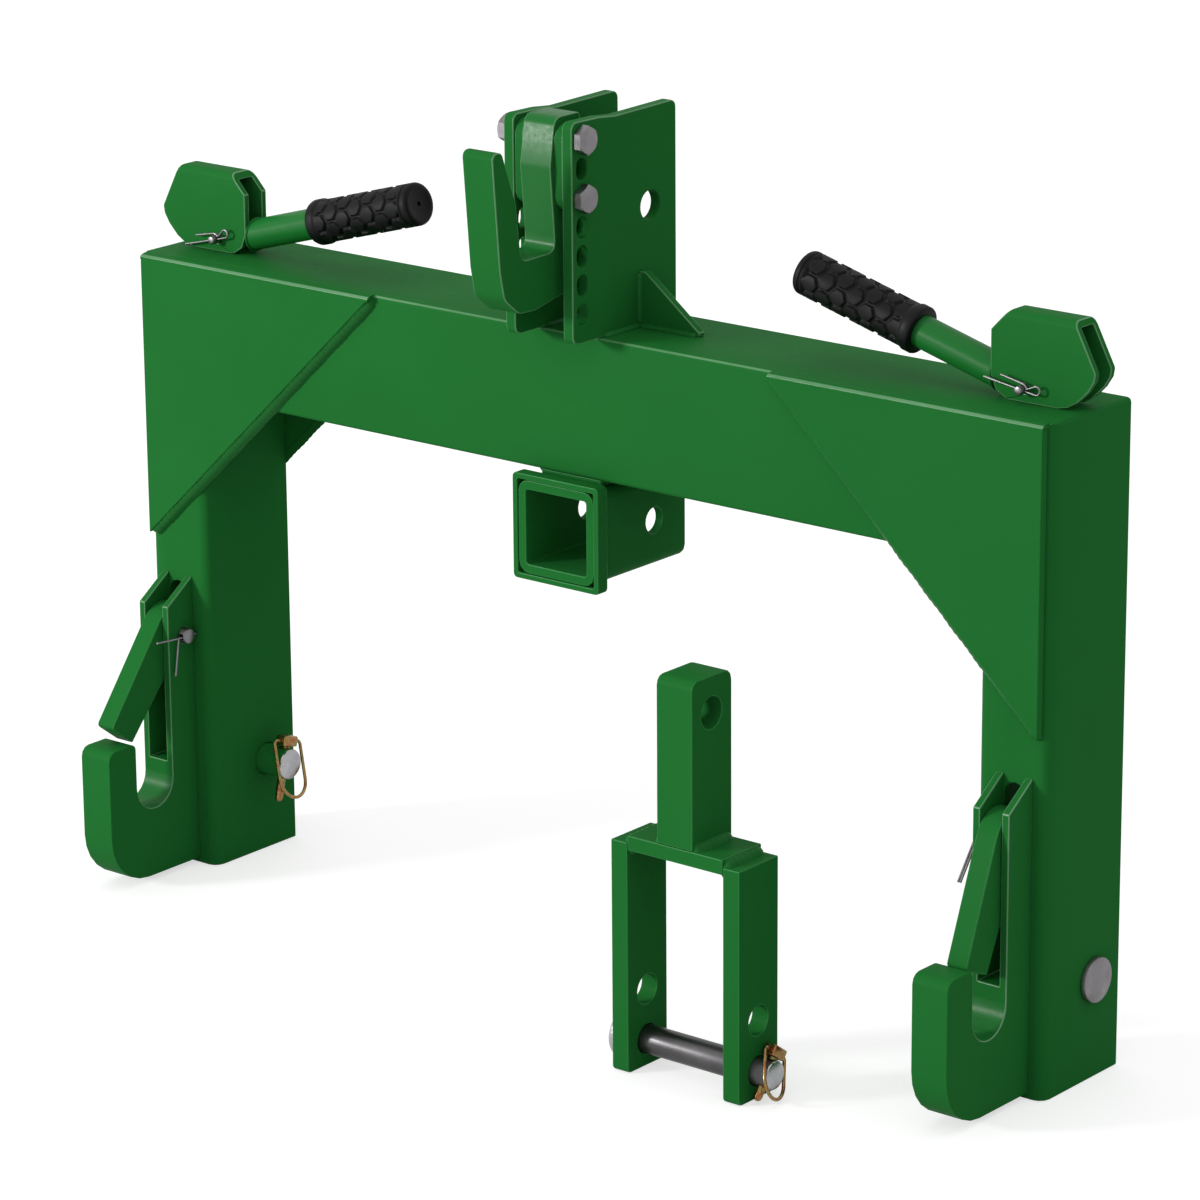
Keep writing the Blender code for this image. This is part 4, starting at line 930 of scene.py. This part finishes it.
def r_clip(side):
    """Spring clip: a straight leg through the pin, a loop behind it, and a humped leg over it."""
    word = side_name(side)
    centre = middle(word + "_clevis_pin")
    centre.y = middle(word + "_r_clip").y
    wire = CLIP_WIRE / 2
    hump = CLEVIS_PIN_RADIUS + wire + 2 * GAP
    flat = [(CLIP_LEG, 0), (-CLIP_BACK, 0)]
    flat += arc((-CLIP_BACK, CLIP_LOOP), CLIP_LOOP, -90, -340, 17)[1:-1]
    flat += arc((0, 0), hump, 158, 90, 8)
    flat.append((CLIP_TAIL, hump + wire))
    spin = Matrix.Rotation(-math.radians(CLIP_TILT_DEG[side]), 3, "Y")
    path = [centre + spin @ Vector((-p, 0, q)) for p, q in flat]
    thing = sweep(path, wire, WIRE_SIDES, word + "_r_clip_wire")
    finish(thing, word + "_clip", (word + "_r_clip",), [STEEL])


def cotter(side):
    """Split pin: its two legs go through the pin side by side and are bent apart on the front."""
    word = side_name(side)
    centre = middle(word + "_latch_pin")
    x, y, z = middle(word + "_cotter").x, centre.y, centre.z
    wire = COTTER_WIRE / 2
    apart = wire + GAP / 2
    front = y - LATCH_PIN_RADIUS - COTTER_WIRE
    back = y + LATCH_PIN_RADIUS + GAP
    (ahead, rise), (lean, drop) = COTTER_LEGS[side]
    path = bend([(x + apart, front - ahead, z + rise), (x + apart, front, z), (x + apart, back, z)],
                COTTER_WIRE)
    path += [(p, q, z) for p, q in arc((x, back + COTTER_EYE), COTTER_EYE, -60, 240, 12)[1:-1]]
    path += bend([(x - apart, back, z), (x - apart, front, z), (x - apart, front - lean, z + drop)],
                 COTTER_WIRE)
    thing = sweep(path, wire, WIRE_SIDES, word + "_cotter_wire")
    finish(thing, "frame", (word + "_cotter",), [STEEL])


def lynch_ring(word, outward, centre):
    """A D-shaped ring through the lynch pin's block, round the end of the pin that it locks."""
    name = word + "_lynch_ring"
    wire = RING_WIRE / 2
    radius = PIN_RADIUS[word]
    wide = radius + RING_PLAY + wire
    x, y, z = centre
    top = z + radius + LYNCH_BLOCK[2] / 2 + wire
    bottom = z - radius - RING_DROP[word] + wide
    curve = LYNCH_WIDE / 2
    flat = arc((y - wide + curve, top - curve), curve, 90, 180, 6)
    flat += arc((y, bottom), wide, 180, 360, 24)
    flat += arc((y + wide - curve, top - curve), curve, 0, 90, 6)
    lean = Matrix.Rotation(-outward * math.radians(RING_LEAN_DEG), 3, "Y")
    spin = Matrix.Rotation(-math.radians(LYNCH_TILT_DEG[word]), 3, "X")
    pivot = Vector((x, y, top))
    path = []
    for p, q in flat:
        spot = pivot + lean @ (Vector((x, p, q)) - pivot)
        path.append(centre + spin @ (spot - centre))
    thing = sweep(path, wire, RING_SIDES, name + "_wire", True)
    finish(thing, name, (name,), [YELLOW])


def spring(side):
    """A compression spring with closed ends, which the lift rod presses together from below."""
    word = side_name(side)
    name = word + "_latch_spring"
    low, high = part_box(name)
    x, y = middle(name).x, FRONT + SPRING_BEHIND
    bottom = low.z + SPRING_WIRE_RADIUS
    height = high.z - low.z - 2 * (SPRING_WIRE_RADIUS + SPRING_END_RISE)
    steps = SPRING_TURNS * SPRING_TURN_STEPS
    end = 1.0 / SPRING_TURNS
    path = []
    for k in range(steps + 1):
        share = k / steps
        rise = min(max((share - end) / (1 - 2 * end), 0.0), 1.0)
        closed = min(share, end) / end + max(share - 1 + end, 0.0) / end
        angle = 2 * math.pi * SPRING_TURNS * share
        path.append((x + SPRING_RADIUS * math.cos(angle), y + SPRING_RADIUS * math.sin(angle),
                     bottom + closed * SPRING_END_RISE + rise * height))
    thing = sweep(path, SPRING_WIRE_RADIUS, SPRING_SIDES, name + "_coil")
    finish(thing, "frame", (name,), [OILED])
    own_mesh(thing)


# Fasteners


def hexagon(name, centre, flats, low, high, chamfer_low):
    """A hexagonal head along X with its corners turned off at the high end, and at the low end where told."""
    y, z = centre
    radius = flats / math.sqrt(3)
    shape = bmesh.new()
    rings = []
    for x in (low, high):
        angles = [math.radians(60 * k) for k in range(6)]
        rings.append([shape.verts.new((x, y + radius * math.sin(angle), z + radius * math.cos(angle)))
                      for angle in angles])
    bridge(shape, rings)
    head = from_bmesh(shape, name)
    cut = radius - flats / 2 * HEX_CHAMFER_SHARE
    depth = cut * math.tan(math.radians(HEX_CHAMFER_DEG)) + HEX_CLEAR
    profile = [(0, radius - cut if chamfer_low else radius * HEX_OUTSIDE),
               (depth, radius + HEX_CLEAR), (high - low - depth, radius + HEX_CLEAR),
               (high - low, radius - cut)]
    combine(head, turned((low, y, z), (1, 0, 0), profile, CONE_SIDES, name + "_cone"), "INTERSECT")
    return head


def threaded_stud(start, total, name):
    """A bolt's shank along X, with its thread at the start."""
    profile = [(0, BOLT_RADIUS - 2 * THREAD_TIP), (THREAD_TIP, BOLT_RADIUS - THREAD_TIP)]
    along = THREAD_TIP
    while along < THREAD_END:
        profile += [(along + THREAD_PITCH / 2, BOLT_RADIUS),
                    (along + THREAD_PITCH, BOLT_RADIUS - THREAD_DEPTH)]
        along += THREAD_PITCH
    profile += [(along + 0.001, BOLT_RADIUS), (total, BOLT_RADIUS)]
    return turned(start, (1, 0, 0), profile, BORE_SIDES, name)


def join_pieces(parts, name):
    shape = bmesh.new()
    for part in parts:
        shape.from_mesh(part.data)
        bpy.data.objects.remove(part, do_unlink=True)
    return to_object(shape, name)


def hook_fixings():
    """The top hook's bolts, each with a washer face and a thread, and their nuts."""
    face = face_x("right_mast_plate", 1) + GAP
    for word in ("upper", "lower"):
        name = word + "_hook_bolt"
        low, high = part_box(name)
        y, z = middle(name).yz
        head = hexagon(word + "_head", (y, z), BOLT_FLATS, face + WASHER, high.x, False)
        disc = cylinder((face, y, z), (1, 0, 0), WASHER, WASHER_RADIUS, CONE_SIDES, word + "_disc")
        stud = threaded_stud((low.x, y, z), face + WASHER - low.x, word + "_stud")
        bolt = join_pieces([head, disc, stud], name + "_fine")
        finish(smooth(bolt, BOLT_SMOOTH_DEG), "frame", (name,), [STEEL])
        name = word + "_hook_nut"
        low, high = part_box(name)
        nut = hexagon(name + "_fine", (y, z), BOLT_FLATS, low.x, high.x, True)
        bore = cylinder((low.x - BOLT_RADIUS, y, z), (1, 0, 0), high.x - low.x + 2 * BOLT_RADIUS,
                        BOLT_RADIUS + GAP, BORE_SIDES, "bore")
        combine(nut, bore, "DIFFERENCE")
        finish(smooth(nut, BOLT_SMOOTH_DEG), "frame", (name,), [STEEL])


# Welds


def weld(name, body, start, end, first, second, size=WELD_LEG, seed=0.0):
    """A painted fillet weld in the corner between two faces, which lie along first and second."""
    start = Vector(start)
    along = Vector(end) - start
    length = along.length
    along.normalize()
    first = Vector(first).normalized()
    second = Vector(second).normalized()
    out = (first + second).normalized()
    steps = max(WELD_FEWEST, int(length / WELD_STEP))
    shape = bmesh.new()
    rings = []
    for i in range(steps + 1):
        t = i / steps
        place = start + along * length * t
        close = min(1.0, min(t, 1 - t) * length / size)
        taper = math.sqrt(1 - (1 - close) ** 2) * (1 - WELD_END_SHARE) + WELD_END_SHARE
        wave = 1 + sum(height * math.sin(i * turn + seed * shift) for height, turn, shift in WELD_RIPPLES)
        leg = size * taper * wave
        ring = []
        for k in range(WELD_FACES + 1):
            share = k / WELD_FACES
            flat = first * leg * (1 - share) + second * leg * share
            bulge = out * leg * WELD_BULGE * math.sin(math.pi * share) * wave
            ring.append(shape.verts.new(place + flat + bulge))
        ring.append(shape.verts.new(place - out * FINE_EDGE))
        rings.append(ring)
    bridge(shape, rings)
    finish(smooth(from_bmesh(shape, name), WELD_SMOOTH_DEG), body, (), [WELD])


def gusset_cap(word, outer, inner, face, level):
    """The ground weld that rounds the top of a front gusset into the top of the beam."""
    crown = TOP + CAP_CROWN
    depth = FRONT - face + CAP_PROUD
    section = [(FRONT + CAP_REACH, crown)]
    for k in range(CAP_STEPS + 1):
        angle = math.radians(90 * (1 - k / CAP_STEPS))
        section.append((FRONT - depth * math.cos(angle), level + (crown - level) * math.sin(angle)))
    section += [(FRONT - depth, level - CAP_DEPTH), (FRONT, level - CAP_DEPTH), (FRONT + CAP_REACH, level)]
    shape = bmesh.new()
    bridge(shape, [[shape.verts.new((x, y, z)) for y, z in section] for x in (outer, inner)])
    cap = smooth(from_bmesh(shape, word + "_front_gusset_top_weld"), CAP_SMOOTH_DEG)
    finish(cap, "frame", (), [GREEN, EDGE_HIGHLIGHT])
    # Painted highlight: the cap's faces that look up and forward get the pale edge colour
    paint_lit_edge_highlight(cap, CAP_RIDGE_COS)


def gusset_welds(side):
    word = side_name(side)
    name = word + "_front_gusset"
    low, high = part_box(name)
    outer, inner = face_x(name, side), face_x(name, -side)
    slope = Vector((inner - outer, 0, high.z - low.z))
    across = Vector((-slope.z, 0, slope.x))
    if across.z > 0:
        across = -across
    for tag, y, away in (("front", FRONT, -1), ("rear", BACK, 1)):
        weld(f"{word}_{tag}_gusset_weld", "frame", (outer, y, low.z), (inner, y, high.z),
             across, (0, away, 0), seed=side + away)
    weld(word + "_rear_gusset_top_weld", "frame", (outer, BACK, high.z), (inner, BACK, high.z),
         REAR, UP, SMALL_WELD, seed=side * 2)
    gusset_cap(word, outer, inner, low.y, high.z)


def mast_welds(side):
    """Where a mast plate and its rib meet the beam and each other."""
    word = side_name(side)
    name = word + "_mast_plate"
    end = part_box(name)[1].y - WELD_STOP
    for tag, away in (("outer", side), ("inner", -side)):
        x = face_x(name, away)
        weld(f"{word}_mast_{tag}_weld", "frame", (x, FRONT + MAST_WELD_START, TOP + GAP), (x, end, TOP + GAP),
             (away, 0, 0), UP, SMALL_WELD, seed=side * 3)
    name = word + "_mast_rib"
    low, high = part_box(name)
    root, tip = face_x(name, -side), face_x(name, side) - side * WELD_STOP
    for tag, y, away in (("front", low.y, -1), ("rear", high.y, 1)):
        weld(f"{word}_rib_{tag}_weld", "frame", (root, y, TOP + GAP), (tip, y, TOP + GAP),
             (0, away, 0), UP, SMALL_WELD, seed=side + 5)
        weld(f"{word}_rib_{tag}_side_weld", "frame", (root, y, TOP + SHORT_STOP),
             (root, y, high.z - SHORT_STOP), (0, away, 0), (side, 0, 0), SMALL_WELD, seed=side + 7)


def frame_welds():
    low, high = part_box("receiver_tube")
    pad_low, pad_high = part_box("receiver_pad")
    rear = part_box("receiver_collar")[1].y
    for side in SIDES:
        word = side_name(side)
        gusset_welds(side)
        mast_welds(side)
        x = face_x("receiver_tube", side)
        weld(f"{word}_collar_weld", "frame", (x, rear, low.z + RECEIVER_WELD_STOP),
             (x, rear, high.z - RECEIVER_WELD_STOP), (side, 0, 0), REAR, RECEIVER_WELD, seed=side + 11)
        x = face_x("receiver_pad", side)
        weld(f"{word}_pad_top_weld", "frame", (x, pad_low.y, BEAM_BOTTOM), (x, pad_high.y, BEAM_BOTTOM),
             (side, 0, 0), DOWN, RECEIVER_WELD, seed=side + 13)
    weld("collar_bottom_weld", "frame", (low.x + RECEIVER_WELD_STOP, rear, low.z),
         (high.x - RECEIVER_WELD_STOP, rear, low.z), DOWN, REAR, RECEIVER_WELD, seed=3)


def adapter_welds():
    low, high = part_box("adapter_bar")
    start, end = low.y + SHORT_STOP, high.y - SHORT_STOP
    cross_low, cross_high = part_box("adapter_cross_plate")
    for tag, away in (("right", 1), ("left", -1)):
        x = face_x("adapter_bar", away)
        weld(f"adapter_bar_{tag}_weld", "adapter", (x, start, cross_high.z), (x, end, cross_high.z),
             (away, 0, 0), UP, ADAPTER_WELD, seed=away)
    for side in SIDES:
        word = side_name(side)
        plate = f"adapter_{word}_plate"
        x = face_x(plate, -side)
        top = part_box(plate)[1].z
        weld(f"adapter_{word}_top_weld", "adapter", (x, start, top), (x, end, top),
             (side, 0, 0), UP, ADAPTER_TOP_WELD, seed=side + 2)
        weld(f"adapter_{word}_under_weld", "adapter", (x, start, cross_low.z), (x, end, cross_low.z),
             (-side, 0, 0), DOWN, ADAPTER_WELD, seed=side + 4)


def lever_welds():
    """A bead round the root of each handle."""
    wide, tall = LEVER_BEAD_RING
    for side in SIDES:
        word = side_name(side)
        name = word + "_lever_hood"
        x = face_x(name, -side) - side * LEVER_BEAD_PROUD
        y = middle(name).y
        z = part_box(name)[0].z + LEVER_BEAD_LEVEL
        angles = [2 * math.pi * k / LEVER_BEAD_STEPS for k in range(LEVER_BEAD_STEPS)]
        path = [(x, y + wide * math.cos(angle), z + tall * math.sin(angle)) for angle in angles]
        bead = sweep(path, LEVER_BEAD, BEAD_SIDES, word + "_lever_weld", True)
        finish(bead, word + "_lever", (), [WELD])


# Stage


def backdrop_share(tree):
    """How white the backdrop is: wholly so for the camera, partly so in reflections and glass."""
    rays = node(tree, "ShaderNodeLightPath")
    seen = node(tree, "ShaderNodeMath", operation="MAXIMUM")
    tree.links.new(rays.outputs["Is Glossy Ray"], seen.inputs[0])
    tree.links.new(rays.outputs["Is Transmission Ray"], seen.inputs[1])
    share = node(tree, "ShaderNodeMath", operation="MULTIPLY_ADD", use_clamp=True)
    share.inputs[1].default_value = MIRRORED_SHARE
    tree.links.new(seen.outputs[0], share.inputs[0])
    tree.links.new(rays.outputs["Is Camera Ray"], share.inputs[2])
    return share.outputs[0]


def floor():
    shape = bmesh.new()
    corners = [shape.verts.new((x * FLOOR_REACH, y * FLOOR_REACH, 0))
               for x, y in ((-1, -1), (1, -1), (1, 1), (-1, 1))]
    shape.faces.new(corners)
    thing = from_bmesh(shape, "floor")
    thing.location.z = -FLOOR_DROP
    material, tree, surface = new_material("floor_white")
    surface.inputs["Base Color"].default_value = (FLOOR_GREY, FLOOR_GREY, FLOOR_GREY, 1.0)
    surface.inputs["Roughness"].default_value = 0.9
    surface.inputs["Specular IOR Level"].default_value = 0.1
    lift = node(tree, "ShaderNodeMath", operation="MULTIPLY")
    lift.inputs[1].default_value = FLOOR_LIFT
    tree.links.new(backdrop_share(tree), lift.inputs[0])
    surface.inputs["Emission Color"].default_value = (1, 1, 1, 1)
    tree.links.new(lift.outputs[0], surface.inputs["Emission Strength"])
    thing.data.materials.append(material)


def world():
    """A white backdrop for the camera, and for light a sky that is brightest overhead."""
    scene = bpy.context.scene
    scene.world = bpy.data.worlds.new("studio")
    scene.world.use_nodes = True
    tree = scene.world.node_tree
    background = tree.nodes["Background"]
    background.inputs["Color"].default_value = (1, 1, 1, 1)
    place = node(tree, "ShaderNodeTexCoord").outputs["Generated"]
    split = node(tree, "ShaderNodeSeparateXYZ")
    tree.links.new(place, split.inputs[0])
    square = node(tree, "ShaderNodeMath", operation="MULTIPLY")
    tree.links.new(split.outputs["Z"], square.inputs[0])
    tree.links.new(split.outputs["Z"], square.inputs[1])
    level = node(tree, "ShaderNodeMix", data_type="FLOAT")
    tree.links.new(backdrop_share(tree), level.inputs["Factor"])
    tree.links.new(mapped(tree, square.outputs[0], SKY_AT_HORIZON, SKY_AT_TOP), level.inputs["A"])
    level.inputs["B"].default_value = 1.0
    tree.links.new(level.outputs["Result"], background.inputs["Strength"])


def key_light():
    data = bpy.data.lights.new("key", "AREA")
    data.shape = "RECTANGLE"
    data.size, data.size_y = KEY_SIZE
    data.energy = KEY_POWER
    lamp = bpy.data.objects.new("key", data)
    bpy.context.scene.collection.objects.link(lamp)
    lamp.location = KEY_PLACE
    lamp.rotation_euler = (Vector(KEY_AIM) - Vector(KEY_PLACE)).to_track_quat("-Z", "Y").to_euler()


def camera():
    data = bpy.data.cameras.new("camera")
    lens = bpy.data.objects.new("camera", data)
    bpy.context.scene.collection.objects.link(lens)
    data.sensor_width = SENSOR
    data.lens = FOCAL_PIXELS / FRAME_PIXELS * SENSOR
    data.clip_start = 0.1
    data.clip_end = 100.0
    lens.location = CAMERA_PLACE
    ahead = Vector((-math.sin(CAMERA_YAW) * math.cos(CAMERA_PITCH),
                    math.cos(CAMERA_YAW) * math.cos(CAMERA_PITCH), -math.sin(CAMERA_PITCH)))
    look = ahead.to_track_quat("-Z", "Y")
    lens.rotation_mode = "QUATERNION"
    lens.rotation_quaternion = look @ Matrix.Rotation(-CAMERA_ROLL, 3, "Z").to_quaternion()
    bpy.context.scene.camera = lens


def pieces():
    frame_shell()
    for word in ("left", "right"):
        for part in ("front_gusset", "rear_gusset"):
            painted(f"{word}_{part}", SOFT_EDGE_HIGHLIGHT, highlight_where=nowhere)
        for part in ("mast_rib", "rod_guide", "lever_hood", "hook_spacer"):
            painted(f"{word}_{part}")
        painted(f"{word}_latch", SOFT_EDGE_HIGHLIGHT)
        painted(f"{word}_mast_plate", highlight_where=near_outline(f"{word}_mast_plate"))
        painted(f"{word}_lower_hook", highlight_where=in_throat, polished=in_bowl)
        for part in ("lift_rod", "fork_pin"):
            plated(f"{word}_{part}", STEEL, ROD_EDGE)
    for part in ("adapter_bar", "adapter_cross_plate", "adapter_left_plate", "adapter_right_plate"):
        painted(part, SOFT_EDGE_HIGHLIGHT)
    painted("top_hook", polished=in_top_slot)
    for part in ("receiver_tube", "receiver_collar", "receiver_pad"):
        painted(part, SOFT_EDGE_HIGHLIGHT)
    turned_pins()
    for side in SIDES:
        word = side_name(side)
        lever_tube(side)
        grip(side)
        r_clip(side)
        cotter(side)
        spring(side)
        lynch_ring(word, -side, lynch_pin(word))
    lynch_ring("adapter", 1, lynch_pin("adapter"))
    hook_fixings()
    frame_welds()
    adapter_welds()
    lever_welds()


def main():
    pieces()
    floor()
    world()
    key_light()
    camera()
    scene = bpy.context.scene
    scene.view_settings.view_transform = "Standard"


main()
